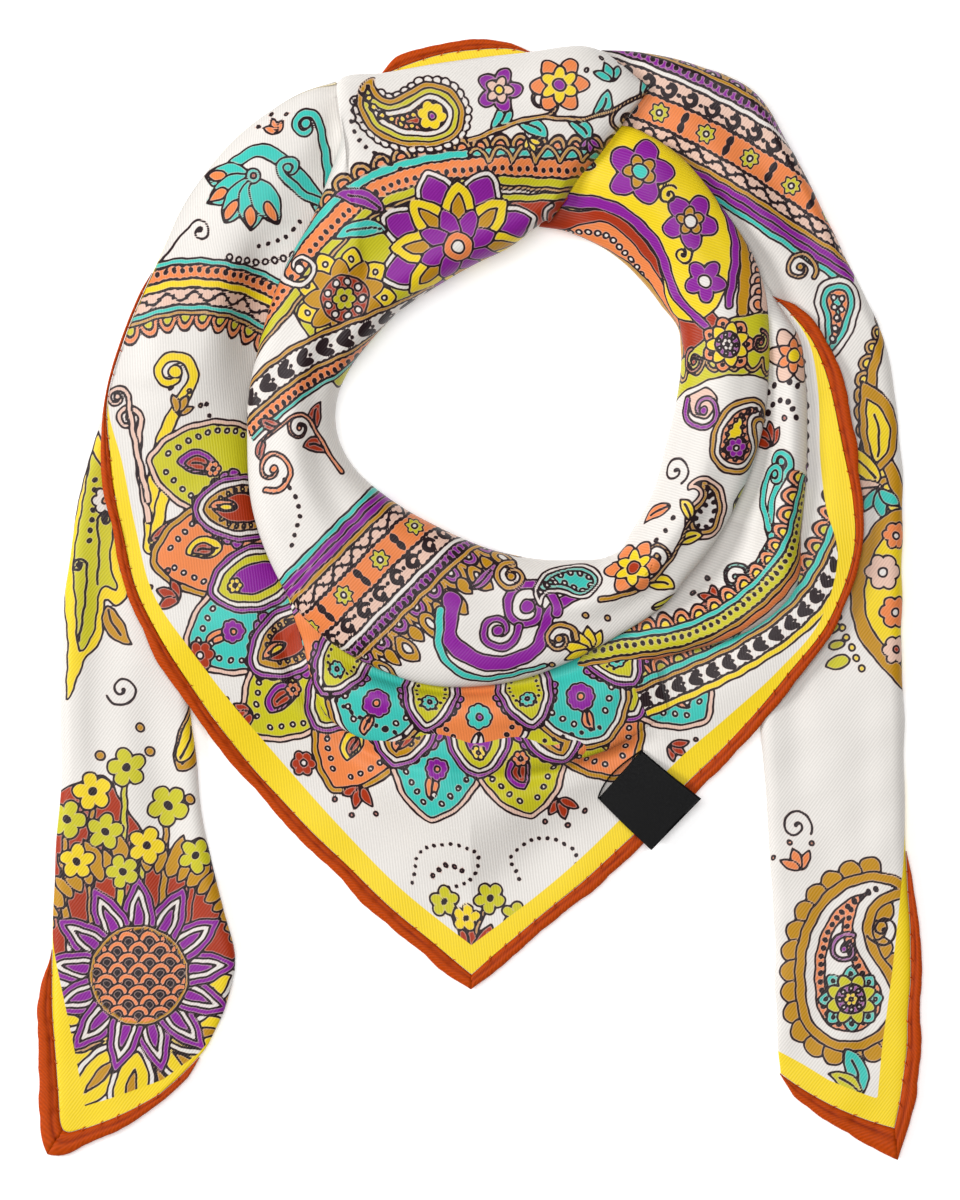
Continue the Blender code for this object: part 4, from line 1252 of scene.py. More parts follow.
jointRows = (    # where the band goes over into the roll
    (22, 12.1, 28, -19.5, 6, 15, 17, 15, 10),
    (40.75, 13.65, 54.75, -3.85, 6, 15, 17, 14, 10),
    (47.4, 21.5, 65.5, 8, 6, 15, 17, 15, 10),
)
rightRollRows = filled(
    (18.5, 115.5, 36.5, 143.5, 5, 8, 10, 10, 8),
    (27.4, 113.9, 45.5, 147, 5, 10, 13, 13, 9),
    (37, 109.7, 57.5, 141, 5, 11, 16, 17, 11),
    (44.2, 104.4, 67.5, 132, 5, 12, 17, 17, 12),
    (50.5, 97.9, 77, 119.5, 5, 13, 18, 17, 12),
    (56, 91.4, 84.5, 107.5, 6, 15, 18, 17, 12),
    (61.5, 84.6, 88.5, 96, 6, 16, 18, 17, 12),
    (62.6, 78.3, 90, 83.5, 6, 16, 18, 17, 11),
    (62.5, 71, 90, 71, 6, 16, 18, 17, 10),
    (60.6, 59.2, 88, 54),
    (57.4, 46.3, 83.5, 38, 6, 16, 18, 16, 10),
    (53.9, 32.3, 75.5, 21.5, 6, 16, 18, 15, 10),
    *jointRows[::-1],
)
rightRoll = {
    "spacing": 0.5, "across": 24, "turnIn": 11, "turnOut": 11, "turnSteps": 30, "under": 3.5,
    "last": 13.08, "unevenness": 0.2, "seed": 18, "flat": (0.058, 0.17),
    "folds": [
        (34, 128, 50, 117, 64, 94, 4, 0.8),
        (30, 121, 46, 110, 58, 92, 3.5, -1.3),
        (68, 76, 68, 50, 62, 26, 5, -0.6),
        (60, 40, 56, 26, 48, 14, 4, 0.6),
        (74, 66, 74, 46, 70, 30, 3, -0.5),
    ],
}
rollCloth = layStretch("right_roll", rightRollRows, rightRoll)
rollCloth.points[rollCloth.at > 13, :, 2] -= 0.1    # laps under the end of the band

collarBandRows = filled(
    (21.5, 116.2, 52.5, 157.5, 12, 12.5, 13, 12.5, 11),
    (20, 116.8, 51, 160, 11, 16, 18, 15.5, 10),
    (9.5, 109.2, 34.5, 171, 9, 17, 20, 16, 8),
    (-1.8, 103.4, 12.5, 169.5, 8, 18, 22, 16, 8),
    (-14.5, 96.5, -9, 166.5, 7, 18, 22, 16, 8),
    (-24.5, 89.5, -29, 163.5, 7, 17, 21, 16, 9),
    (-29.9, 84.3, -43.5, 160.5),
    (-35, 78.5, -42.5, 144, 7, 17, 20, 18, 10),
    (-40, 71.5, -50, 122, 7, 17, 20, 18, 11),
    (-43.5, 64, -60, 102.5, 6, 16, 19, 18, 12),
    (-44.5, 56.5, -68.5, 77, 6, 16, 19, 17, 12),
    (-43, 48.4, -72, 52.5),
    (-38.7, 40.9, -70, 27.5),
    (-31, 33.6, -58.5, -0.5, 6, 16, 18, 17, 12),
    (-19.8, 25.9, -41.5, -16.5, 6, 15, 18, 17, 11),
    (-5.5, 19.2, -18.5, -26, 6, 15, 18, 16, 11),
    (7.1, 14.6, 5.5, -26.5, 6, 15, 17, 16, 10),
    *jointRows,
)
collarBand = {
    "spacing": 0.55, "across": 62, "turnIn": 11, "turnOut": 11, "turnSteps": 25, "under": 3.5,
    "last": 18, "endTurn": 6, "endDrop": 1.5,
    "unevenness": 0.2, "seed": 18, "flat": (0.075, 0.30),
    "folds": [
        (-40, 160, -41, 148, -36, 136, 3, 0.9),
        (20, 160, -8, 156, -34, 142, 6, -0.7),
        (14, 136, -12, 136, -34, 122, 4.5, 0.6),
        (-44, 108, -58, 84, -60, 56, 6, -0.7),
        (-66, 76, -68, 46, -58, 22, 5, 0.6),
        (-48, 60, -52, 40, -40, 22, 5, -0.6),
        (-46, 14, -30, 0, -6, -8, 6, -1.7),
        (-20, 12, 0, 4, 22, 4, 5, 0.6),
        (0, -12, 18, -12, 34, -4, 4, -0.6),
        (41, 13.5, 36, 7, 24, 0, 3, -1.4),
        (30, 142, 34, 134, 28, 122, 4, -0.8),
    ],
}
bandCloth = layStretch("collar_band", collarBandRows, collarBand)
print("stretches laid")


def layPrint(cloth, motifs):
    art = Print(*flattened(cloth))
    for kind, *values in motifs:
        extra = values.pop() if isinstance(values[-1], dict) else {}
        kind(art, *values, **extra)
    return art


def each(kind, places, *look, **extra):
    # the same motif at several places
    return [(kind, *place, *look, extra) for place in places]


crossing = [
    (1.7, "ochre"), (3.4, "purple", seeds), (1.8, "ground"), (6.4, "pink", hooks),
    (9, "coral", blooms, "lime"), (4.8, "pink", waves), (1.8, "ochre"), (2.4, "purple"), (2.2, "purple"),
    (2, "turquoise"),
]
crests = ((-1, 7.6, (("ochre", 0.56), ("purple", 0.34), ("ground", 0.14))),)
garland = [(2.2, "yellow"), (6.2, "ground", leafChain), (1.5, "ochre"), (2.2, "turquoise")]
tealPetal = {
    "linings": (("pink", 0), ("turquoise", 1.7)),
    "rim": ("ground", 3.3, 0.75, 2.9),
    "within": ((leaf, 0.66, 0, 8, 0, "coral", 0.5), (daisy, 0.62, 0, 3.8, "purple", 0, 8, "coral"),
               (disc, 0.8, 0, 0.9, "ground")),
}
limePetal = {
    "linings": (("pink", 0), ("lime", 1.7)),
    "rim": ("ground", 3.3, 0.75, 2.9),
    "within": ((leaf, 0.52, 0, 12, 0, "purple", 0.62), (leaf, 0.56, 0, 8, 0, "rust", 0.55),
               (daisy, 0.54, 0, 2.6, "coral", 0, 6, "ground")),
}
coralPetal = {
    "linings": (("ochre", 0), ("coral", 1.9)),
    "rim": ("ground", 3.7, 0.75, 2.7),
    "within": ((leaf, 0.5, 0, 11, 0, "yellow", 0.6), (leaf, 0.55, 0, 7, 0, "rust", 0.5)),
}
cup = {
    "linings": (("purple", 0), ("ground", 1.6), ("ochre", 3.3), ("rust", 5.8)),
    "fringe": ("purple", 1.9),
    "rim": ("yellow", 4.6, 0.6, 2.4),
    "within": ((leaf, 0.5, 0, 9, 0, "coral", 0.4), (leaf, 0.54, 0, 5, 0, "yellow", 0.4, 0.25, False)),
}
cupLime = {
    "linings": (("purple", 0), ("ground", 1.6), ("lime", 3.2), ("purple", 5.8)),
    "within": ((daisy, 0.7, 0, 2.4, "yellow", 0, 6, "rust"),),
}
tealDrop = {
    "linings": (("ochre", 0), ("ground", 1.6), ("turquoise", 3.3)),
    "rim": ("ground", 4.9, 0.8, 3),
    "within": ((daisy, 0.62, 0, 4.6, "purple", 0, 9, "coral"), (leaf, 0.72, 0, 7, 0, "coral", 0.5)),
}
coralDrop = {
    "linings": (("ground", 0), ("coral", 1.7)),
    "rim": ("rust", 3.4, 0.6, 2.3),
    "within": ((daisy, 0.6, 0, 4.2, "turquoise", 0, 8, "purple"), (leaf, 0.72, 0, 7, 0, "ground", 0.5)),
}
slimDrop = {
    "linings": (("purple", 0), ("ground", 1.5), ("lime", 3.1)),
    "fringe": ("purple", 1.5),
    "rim": (None, 4.4, 0.45, 2),
    "within": ((daisy, 0.62, 0, 2.6, "turquoise", 0, 7, "purple"),),
}
tealCup = {
    "linings": (("turquoise", 0),),
    "within": ((leaf, 0.5, 0, 7, 0, "coral", 0.5, 0.1, False),),
}
bandMotifs = [
    (field, [(-49.9, 77.2), (-58, 92.7), (-46.2, 111.3), (-29.1, 121.2), (-9, 124.9), (12.7, 124.9),
             (43.7, 124.9), (40.6, 106.6), (18.9, 97.3), (-2.8, 83.4), (-24.5, 71), (-40, 61.7)], "lime"),
    (field, [(8.1, 122.5), (43.7, 122.5), (43.7, 106.6), (15.8, 92.7), (-15.2, 77.2), (-24.5, 83.4),
             (-12.1, 102)], "rust"),
    (ribbon, [(56.1, 132.4), (25.1, 132.4), (3.4, 133), (-18.3, 130.5), (-35.3, 123.7), (-50.8, 109.7),
              (-63.2, 92.7), (-78.7, 76.6)],
     [(1.2, "ochre"), (3, "lime"), (6.2, "coral", seeds), (3, "turquoise")],
     [(1, 5.8, (("ochre", 0.5), ("coral", 0.27)))]),
    (paisley, -14.6, 151, 33, 112, ("ochre", "lime", "ground", "coral", "rust"),
     {"lining": 1.9, "beads": ("yellow", 6.9, 1, 3.4), "heart": ("yellow", "purple", 0.15), "curl": 150,
      "rim": ("ground", 1.6)}),
    (beads, [(-24.5, 133), (-36.9, 142.3), (-39.4, 151.6), (-34.4, 159.7)], 3.2, 0.7),
    (vine, [(-2.8, 142.3), (15.8, 149.1), (34.4, 149.1), (57.7, 159.7)], "ochre", "turquoise", 10.5, 8.5,
     0.5),
    (arcade, [(54.6, 139.2), (34.4, 139.2), (15.8, 139.8), (-2.8, 139.2)], 7.4, 5, "ochre", 0.7),
    (flower, 25.1, 159.7, 9, 6, [("coral", 1, 0), ("yellow", 0.66, 0.5)], [("purple", 0.22)]),
    (flower, 6.5, 159, 7, 5, [("purple", 1, 0), ("pink", 0.6, 0)], [("yellow", 0.2)]),
    (sprout, 41.2, 160.9, 20, 6.5, "turquoise", "ground"),
    (sprout, 15.8, 142.3, 200, 4.5, "yellow"),
    (sprout, 34.4, 142.3, 180, 4.5, "purple"),
    (lotus, -6.5, 108.2, 4, 26, 90, 360, 8, plain(("ground", 0), ("purple", 1.7)), 0.46),
    (lotus, -6.5, 108.2, 3, 21, 112.5, 360, 8, plain(("yellow", 0), ("ochre", 3)), 0.4),
    (lotus, -6.5, 108.2, 2, 12.5, 90, 360, 8, plain(("purple", 0)), 0.4),
    (disc, -6.5, 108.2, 4.6, "coral"),
    (disc, -6.5, 108.2, 2, "ground"),
    *each(leaf, ((-29.1, 120, 17, 75, "purple", 0.32), (-28.2, 113.8, 17, 100, "turquoise", 0.32),
                 (18.3, 113.8, 17, -75, "yellow", 0.36), (15.8, 104.5, 15, -100, "purple", 0.36))),
    (scroll, 25.1, 116.9, 5.2, 120, "ground", 0.7),
    (scroll, 34.4, 120, 4, 300, "ochre", 0.7, True),
    (rosette, -41.5, 92.7, 16, 9, ("yellow", "ochre", "rust", "lime")),
    (scroll, -55.5, 102.6, 6.5, 120, "ground", 1),
    (leaf, -31.3, 76.6, 13, 150, "purple", 0.4),
    (leaf, -27, 80.3, 12, 200, "turquoise", 0.36),
    (ribbon, [(-12.1, 86.5), (-36.9, 78.7), (-55.5, 70.4), (-75.6, 55.5)],
     [(1.5, "turquoise"), (4, "coral", seeds), (1.5, "ochre"), (7.4, "ground", leafChain),
      (1.6, "ochre")]),
    (vine, [(-41.5, 40), (-49.9, 52.4), (-55.5, 57), (-67.3, 49.3)], "coral", "rust", 8.5, 7, 0.5, 0.6),
    (scroll, -64.2, 40, 6.5, 250, "coral", 0.8),
    (ribbon, [(-2.8, 40), (-21.4, 21.4), (-40, 2.8), (-58.6, -15.8)], crossing, crests),
    (leafRow, [(8.4, 21.4), (-12.1, 0.9), (-33.2, -20.1), (-43.1, -31.3)], 5.2, 10, "ochre", "ground"),
    (beads, [(-60.1, 36.9), (-55.5, 27.6), (-58, 16.7)], 3.2, 0.7),
    (stem, [(-8.4, -0.3), (-9, -12.7), (3.4, -20.1), (17.4, -15.8), (22.6, -3.4), (32.9, 2.8)], "purple",
     2.3),
    (stem, [(-12.1, -3.4), (-11.5, -17.4), (0.3, -25.1), (20.5, -21.4)], "turquoise", 1.1),
    (scroll, 15.2, -2.8, 8.5, 350, "purple", 1.5),
    (scroll, 5.9, -9.6, 6, 190, "purple", 1.2, True),
    (leaf, -2.8, 3.4, 12, 320, "purple", 0.3),
    (scroll, 10.2, 7.4, 5, 90, "ochre"),
    (paisley, 31.3, 6.5, 20, 80, ("ground", "turquoise", "turquoise"),
     {"lining": 1.4, "beads": ("ground", 3.4, 0.75, 2.9), "mirrored": True, "curl": 120}),
    (sprout, 34.4, -17.4, 40, 9.5, "yellow", "ochre", 5, 34),
    (scroll, 25.1, -12.7, 5, 0, "ochre", 0.8),
]
jointMotifs = [    # round the lower right, on the band and on the roll
    (vine, [(37.5, -0.3), (49.9, 2.8), (59.8, 12.1), (65.4, 24.5)], "ochre", "yellow", 9.5, 7.5, 0.52),
    (flower, 47.4, 10.2, 9, 6, [("coral", 1, 0), ("yellow", 0.66, 0.5)], [("rust", 0.24)]),
    (leaf, 54.6, -4, 9, 300, "lime", 0.42),
    *each(disc, ((54.6, 18.3), (57.4, 21.4), (59.8, 25.1)), 0.8),
]
rollMotifs = [
    (field, [(15.8, 119), (37.5, 125.2), (54.6, 111.3), (68.5, 92.7), (77.8, 78.7), (49.9, 66.3),
             (25.1, 95.8), (9.6, 109.7)], "rust"),
    # a print field on the roll's inner slope: its coral, darker than the pink, is partly print and partly
    # painted shade of that slope
    (field, [(18.9, 111.3), (37.5, 115.6), (49.9, 104.5), (59.8, 86.5), (49.9, 77.2), (28.2, 98.9)],
     "coral"),
    (beads, [(25.1, 112.5), (37.5, 111.3), (47.4, 100.1), (53, 86.5)], 2.7, 0.85, "ground"),
    (stem, [(57.4, 76.6), (52.4, 89), (43.1, 100.1), (28.8, 108.8)], "ochre", 2.4),
    (field, [(23.9, 142.3), (49.9, 154.7), (73.2, 134.5), (80.3, 109.7), (72.2, 89), (58.6, 87.1),
             (53, 106.6), (40.6, 118.7), (25.1, 121.8)], "yellow"),
    (stem, [(23.9, 123.7), (41.2, 120.6), (53.6, 110), (59.8, 93.9), (70.1, 84)], "purple", 1.8),
    (stem, [(64.8, 145.4), (74.7, 129.9), (79.7, 111.3), (77.2, 90.8)], "purple", 1.7),
    (stem, [(68.5, 146), (79, 129.9), (83.4, 111.3), (81.5, 89)], "ochre", 2.6),
    (flower, 49.9, 132.4, 10, 5, [("purple", 1, 0), ("ochre", 0.5, 0.5)], [("turquoise", 0.24)], 0.66),
    (flower, 65.4, 116.9, 8.5, 5, [("purple", 1, 0.2), ("ochre", 0.5, 0.7)], [("ground", 0.24)], 0.66),
    (flower, 69.8, 98.3, 6.5, 5, [("purple", 1, 0.2)], [("ground", 0.3)], 0.66),
    (scroll, 58.6, 124.9, 3.2, 40),
    (scroll, 62.9, 106.3, 3, 220, {"mirrored": True}),
    (leaf, 36, 134.5, 9, 100, "turquoise", 0.46),
    (plume, [(89.6, 91.1), (89.6, 108.2), (84.6, 124.9), (73.5, 142.3)], "pink", "coral", 3.4, 0.6),
    (field, [(49.9, 70.4), (65.4, 77.2), (79.4, 87.1), (105.7, 87.1), (105.7, 61.7), (88.7, 68.5),
             (73.2, 68.5), (53, 61.7)], "lime"),
    (arcade, [(53, 64.2), (68.5, 70.4), (87.1, 70.4), (99.5, 66.3)], 6, 4, "ochre", 0.6),
    (rosette, 76.9, 78.7, 8.5, 7, ("coral", "yellow", "purple", "ground")),
    (scroll, 65.4, 73.5, 3.6, 100, "rust", 0.6),
    (scroll, 87.7, 79.7, 3.4, 260, "rust", 0.6, True),
    (field, [(63.5, 62.9), (69.8, 65.4), (73.5, 61.7), (70.4, 56.1), (65.4, 57.4)], "pink"),
    (paisley, 79.7, 46.8, 25, 8, ("ochre", "ground", "coral", "yellow"),
     {"lining": 1.6, "curl": 200, "plump": 0.32, "beads": ("rust", 4.6, 0.6, 2.6),
      "heart": ("purple", "ground", 0.14)}),
    (scroll, 69.1, 58.6, 6.2, 150, "purple"),
    (paisley, 70.4, 24.5, 19, 330, ("pink", "ochre", "ground"),
     {"lining": 1.5, "beads": (None, 3.9, 0.75, 2.8), "plump": 0.34, "mirrored": True}),
    (sprout, 81.5, 30.7, 250, 8.5, "lime", "yellow", 4, 36),
    (leaf, 58.6, 29.1, 10, 120, "coral", 0.4),
    (scroll, 59.8, 40, 4.6, 300),
]
foldMotifs = [
    (vine, [(81.5, -17.4), (81.5, -3.4), (84.6, 7.4), (91.5, 18.3)], "turquoise", "turquoise", 10, 7,
     0.46),
    (sprout, 73.5, -0.3, 70, 6.5, "rust", "rust"),
    (tendril, [(92.1, 18.3), (92.7, 30.7), (98.3, 40)], 4, "turquoise", 1.1),
    (tendril, [(91.5, 21.4), (88.3, 30.7), (90.2, 38.8)], 3.4, "turquoise", 1, -1),
    (sprout, 90.2, 47.4, 20, 8, "rust", "rust", 4, 34),
    (beads, [(87.7, 55.5), (91.5, 60.5), (97, 61.1), (99.5, 56.1)], 3.2, 0.9),
    (beads, [(89.6, 64.2), (94.5, 67.9), (100.1, 66)], 3.2, 0.9),
    (flower, 98.3, 75.3, 9, 6, [("pink", 1, 0), ("coral", 0.6, 0.5)], [("yellow", 0.25)]),
    (ribbon, [(25.1, -19.5), (43.7, -16.4), (65.4, -12.7), (82.5, -4), (99.5, 12.1), (108.8, 36.9)],
     [(2, "turquoise"), (5, "lime", seeds), (1.6, "ochre"), (2.6, "coral")],
     [(-1, 6.2, (("coral", 0.5), ("yellow", 0.27)))]),
    (leafRow, [(104.5, 74.1), (106.3, 55.5), (105.7, 36.9)], 4.2, 6.5, "purple", "turquoise"),
]
swagMotifs = [
    (field, [(-80.3, 30.7), (6.5, 30.7), (21.1, -5.9), (38.1, -45.3), (46.8, -66), (-5.9, -71.6),
             (-80.3, -71.6)], "lime"),
    (lotus, -2.8, 49.3, 60, 103, 250.5, 107, 5, (tealDrop, coralDrop), 0.58),
    (lotus, -2.8, 49.3, 66, 92, 250.5, 128.4, 6, (slimDrop,), 0.32),
    (beads, [(-58.6, -12.7), (-41.5, -33.8), (-18.3, -44.3), (6.5, -46.8), (37.5, -40)], 3, 0.65),
]
panelMotifs = [
    (tendril, [(-46.2, 111.3), (-46.2, 129.9), (-49.9, 147.9)], 4.6, "turquoise", 1.3),
    (tendril, [(-46.2, 118.1), (-55.5, 130.5), (-67.3, 139.2), (-76.6, 136.1)], 6.4, "turquoise", 1.9, 1,
     0.9),
    (tendril, [(-45.6, 121.8), (-53.6, 124.9), (-61.1, 131.1)], 3.4, "turquoise", 1.1, -1),
    (lotus, -70.4, 131.1, 1.5, 17, 238, 150, 5, (tealCup,), 0.6),
    (disc, -70.4, 131.1, 2.3, "turquoise"),
    (disc, -70.4, 131.1, 0.9, "rust"),
    (sprout, -58, 167.1, 150, 6, "coral", {"spread": 40}),
    (sprout, -64.2, 144.8, 20, 5.5, "coral", "coral"),
    (beads, [(-51.8, 113.8), (-56.7, 107.6), (-67.3, 104.5), (-78.4, 106.3)], 3, 0.9, "ground"),
    (beads, [(-55.5, 116.9), (-60.5, 111.9), (-68.5, 109.4)], 3, 0.7),
    (tendril, [(-102, 104.5), (-95.8, 111.3), (-90.2, 116.9)], 4, {"way": -1}),
    (ribbon, [(-123.7, 89), (-95.8, 97.3), (-71, 93.9), (-41.5, 78.7)],
     [(1.8, "turquoise"), (4.4, "coral", seeds), (2.6, "yellow"), (5.4, "pink", waves),
      (1.8, "turquoise"), (1.4, "ochre")], [(1, 7, (("coral", 0.5), ("lime", 0.27)))]),
    (tendril, [(-102, 15.8), (-101.4, 30.7), (-98.3, 49.3), (-89.6, 66.7)], 7, "yellow", 1.7),
    (tendril, [(-100.8, 18.3), (-95.8, 36.9), (-84.6, 47.4)], 6.5, "yellow", 1.5, -1),
    (tendril, [(-102.6, 24.5), (-105.7, 43.1), (-105.1, 55.5)], 4.2, "pink", 0.9),
    (tendril, [(-102.6, 30.7), (-107, 49.3), (-109.4, 62.9)], 3.6, "pink"),
    (leaf, -102, 18.3, 17, -52, "rust", 0.36),
    (leaf, -102, 15.8, 15, -84, "yellow"),
    (leaf, -101.4, 13.3, 13, -112, "coral", 0.36),
    (sprout, -93.9, 58, 330, 6, "ochre", "ochre"),
    (beads, [(-84.6, 60.5), (-82.8, 51.8), (-84.6, 42.5)], 3.4, 0.7),
    (lotus, -2.8, 30.7, 56, 101, 272, 216, 12, (limePetal, coralPetal, tealPetal), 0.62),
    (lotus, -2.8, 30.7, 58, 86, 272, 198, 11, (cup, cupLime), 0.48),
    *each(sprout, ((-93.3, -0.3, 65, 7.5), (-71, -36, 105, 7), (-36.3, -59.2, 160, 7.5),
                   (25.1, -62.3, 195, 7), (59.8, -45.3, 235, 6)), "rust", "rust"),
    *each(daisy, ((-86.5, -17.4, 4.6), (-54.9, -51.8, 4.2)), "rust", 0, 6, "ground"),
    (beads, [(-20.8, -89.6), (-18.3, -79.7), (-8.4, -76.6), (-0.3, -80.3), (-2.8, -88.3), (-9.6, -90.8)],
     2.6, 0.62),
    (beads, [(12.7, -88.3), (10.2, -80.9), (18.9, -75.3), (28.8, -78.4), (30.7, -85.9)], 2.6, 0.62),
    (beads, [(-14.6, -87.1), (-9.6, -83.4), (-5.3, -85.2)], 2.6, 0.62, "rust"),
    (stem, [(-2.8, -108.8), (-7.4, -101.1), (-10.2, -94.9)], "ochre", 0.6),
    (stem, [(-2.2, -108.8), (0.3, -101.1), (3.4, -93.3)], "ochre", 0.6),
    (stem, [(-1.6, -109.4), (6.5, -104.2), (12.7, -99.5)], "ochre", 0.6),
    *each(leaf, ((-2.8, -110.4, 10, 25), (-1.6, -110.4, 10, -30)), "rust", 0.5),
    *each(daisy, ((-10.8, -95.2, 5, "lime", 20), (3.4, -93.9, 5.2, "lime", 50),
                  (-4, -100.1, 4.6, "yellow", 10), (11.5, -99.5, 4.6, "lime", 80))),
    (ribbon, [(118.7, 40), (115, 21.4), (103.2, -0.3), (84, -15.8), (49.9, -31.3)], garland,
     [(1, 6.2, (("coral", 0.5), ("lime", 0.27)))]),
    (leafRow, [(101.4, 74.1), (102.6, 55.5), (102, 36.9)], 4.4, 7, "purple", "turquoise", -90),
]
leftMotifs = [
    (tendril, [(-113.8, 40), (-108.2, 30.7), (-105.7, 18.3)], 5.2, "yellow", 1.4, -1),
    (field, [(-118.7, 52.4), (-112.5, 40), (-110.7, 24.5), (-111.9, 12.1), (-108.8, 2.8), (-112.5, -2.2),
             (-116.2, -0.3), (-117.5, -12.7), (-122.5, -18.9), (-128, -31.3), (-128, -12.7),
             (-129.9, 5.9), (-124.9, 30.7)], "yellow"),
    (field, [(-120.6, 46.2), (-115, 36.9), (-113.5, 24.5), (-114.7, 11.5), (-112.5, 2.8), (-117.5, 3.4),
             (-119.7, -10.2), (-124.3, -15.8), (-125.5, -0.3), (-126.2, 12.1), (-123.1, 30.7)], "lime"),
    (tendril, [(-124.3, -12.7), (-122.5, -0.3), (-121.8, 10.2)], 2.6),
    (tendril, [(-118.7, 4.7), (-118.1, 15.2), (-118.7, 24.5)], 2.4, {"way": -1}),
    (beads, [(-121.2, 18.3), (-120, 27.6), (-119.3, 36.9)], 3.2, 0.8),
    (daisy, -116.2, 30.7, 4.2, "ground", 0, 6, "coral"),
    *each(leaf, ((-115.6, -2.2, 14, 215, "ochre", 0.42), (-93.3, -53, 26, -14, "ochre", 0.44),
                 (-93.3, -50.5, 16, -14, "yellow", 0.4), (-99.5, -15.8, 11, 20, "yellow", 0.4))),
    (scroll, -110.7, -28.2, 5, 200),
    (field, [(-136.1, -62.3), (-117.5, -54.9), (-111.3, -62.3), (-98.9, -77.8), (-84.9, -74.7),
             (-80.3, -90.2), (-75.6, -111.9), (-129.9, -111.9), (-139.2, -84)], "rust"),
    *each(stem, (([(-126.8, -108.8), (-129.3, -90.2), (-128, -68.5)], "ochre"),
                 ([(-120, -108.8), (-120.6, -87.1), (-120, -62.3)], "ochre"),
                 ([(-113.8, -108.8), (-110.7, -84), (-110, -53)], "lime"),
                 ([(-100.1, -108.8), (-97.7, -87.1), (-97, -65.4)], "ochre"),
                 ([(-107, -108.8), (-105.1, -93.3), (-104.5, -77.8)], "lime"),
                 ([(-92.7, -108.8), (-89.6, -93.3), (-87.7, -80.9)], "rust")), 1.1),
    (field, [(-142.3, -127.4), (-108.2, -121.2), (-71, -121.2), (-71, -164.6), (-108.2, -183.2),
             (-142.3, -183.2)], "ochre"),
    (leafRow, [(-136.1, -111.9), (-126.8, -93.3), (-105.7, -84.6), (-86.5, -92.1), (-75.3, -108.8)], 3.6,
     14, "ochre", {"width": 0.4}),
    (lotus, -105.1, -134.2, 5, 36, 97, 360, 11, plain(("ground", 0), ("yellow", 1.8), ("ochre", 5.6)),
     0.44),
    (lotus, -105.7, -116.9, 6, 31, 90, 360, 13, plain(("purple", 0), ("ground", 2), ("purple", 3.6)),
     0.44),
    (disc, -105.7, -116.9, 15.5, "ochre"),
    (scales, -105.7, -116.9, 32, 6.6, ("coral", "ink"), 14.5),
    (daisy, -128, -68.5, 6.4, "lime"),
    *each(daisy, ((-120, -59.8, 6.4, "yellow", 30), (-109.4, -52.4, 6.4, "lime", 30),
                  (-96.4, -64.2, 6.8, "lime", 50), (-116.2, -72.2, 6, "lime", 10),
                  (-103.2, -76.6, 6.2, "yellow", 70), (-124.9, -81.5, 5.8, "yellow", 15),
                  (-110.7, -84.6, 5.6, "lime", 40), (-87.7, -79.7, 5.8, "lime", 60))),
    *each(disc, ((-102, -47.4, 1.5), (-117.5, -48.7, 1.5), (-105.1, -40, 1.3), (-89.6, -62.3, 1.5)),
          "ochre"),
]
rightMotifs = [
    (ribbon, [(18.9, 164), (49.9, 153.4), (80.9, 138.6), (124.3, 111.3)], crossing, crests),
    (leafRow, [(130.5, 134.5), (99.5, 155.3), (74.7, 166.5), (49.9, 174.5)], 5.6, 9, "ochre", "ground",
     -90),
    (paisley, 111.3, 92.7, 27, 182, ("ground", "turquoise", "coral", "turquoise"),
     {"lining": 1.9, "curl": 80, "beads": ("ground", 5.6, 0.9, 3.4), "plump": 0.25}),
    (scroll, 99.5, 102.6, 5, 330, "ochre", 0.7),
    (plume, [(132.1, 30.7), (124.3, 49.3), (121.8, 67.9), (127.4, 86.5)], "ochre", "yellow", 4.4, 0.5,
     (1,)),
    (leaf, 123.7, 40, 28, 12, "ochre", 0.44),
    *each(leaf, ((123.7, 42.5, 20, 12), (124.3, 36.3, 19, 60)), "yellow", 0.36),
    (leaf, 125.5, 34.4, 16, 105, "pink"),
    (sprout, 124.3, 33.8, 190, 9, "turquoise", "rust"),
    (field, [(139.8, 29.1), (125.9, 26), (117.5, 13.3), (115.6, -3.4), (121.8, -17.4), (139.8, -28.2)],
     "ochre"),
    (field, [(139.8, 23.9), (128, 21.4), (121.2, 10.2), (120, -3.4), (125.5, -13.9), (139.8, -22.6)],
     "yellow"),
    *each(daisy, ((125.5, 8.4, 5.8, "pink", 0, 6, "ground"), (129.3, -4, 5.2, "coral", 0, 6, "ground"),
                  (129.6, -15.8, 4.6, "pink", 0, 6, "rust"),
                  (129.6, 19.8, 4.4, "coral", 0, 6, "ground"))),
    (beads, [(114.4, 15.2), (111.3, -3.4), (118.7, -21.4)], 3.4, 1, "yellow"),
    (leafRow, [(113.8, 18.3), (110, -0.3), (115, -18.9)], 5.4, 7.5, "lime", None, -90),
    (scroll, 98.3, -70.4, 5, 330),
    (paisley, 115, -124.3, 57, 22, ("ochre", "ground", "coral", "ground"),
     {"lining": 3.1, "curl": 150, "rim": ("ochre", 3.6), "plump": 0.27, "beads": (None, 7.8, 0.8, 2.6)}),
    (rosette, 115.6, -124.3, 10, 8, ("turquoise", "lime", "purple", "yellow")),
    (scroll, 113.8, -108.8, 4.6, 60, "purple", 0.7),
    (scroll, 125.5, -102.6, 5, 200),
    (leaf, 118.1, -154.1, 15, 20, "turquoise", 0.46),
    (leaf, 118.7, -154.1, 12, 60, "lime", 0.4),
    (sprout, 99.5, -84, 20, 7, "coral", "coral"),
]


def borderInside(cloth, sides, way):
    # distance into the print from the printed border's inner line, one line for each side of the corner
    x, y = flattened(cloth)
    inside = np.full(x.shape, noBorder)
    for line in sides:
        line = np.array(line, float)
        distance, share, side = pathDistance(x.ravel(), y.ravel(), line[:, 0], line[:, 1])
        inside = np.minimum(inside, (distance * side * way).reshape(x.shape))
    return inside


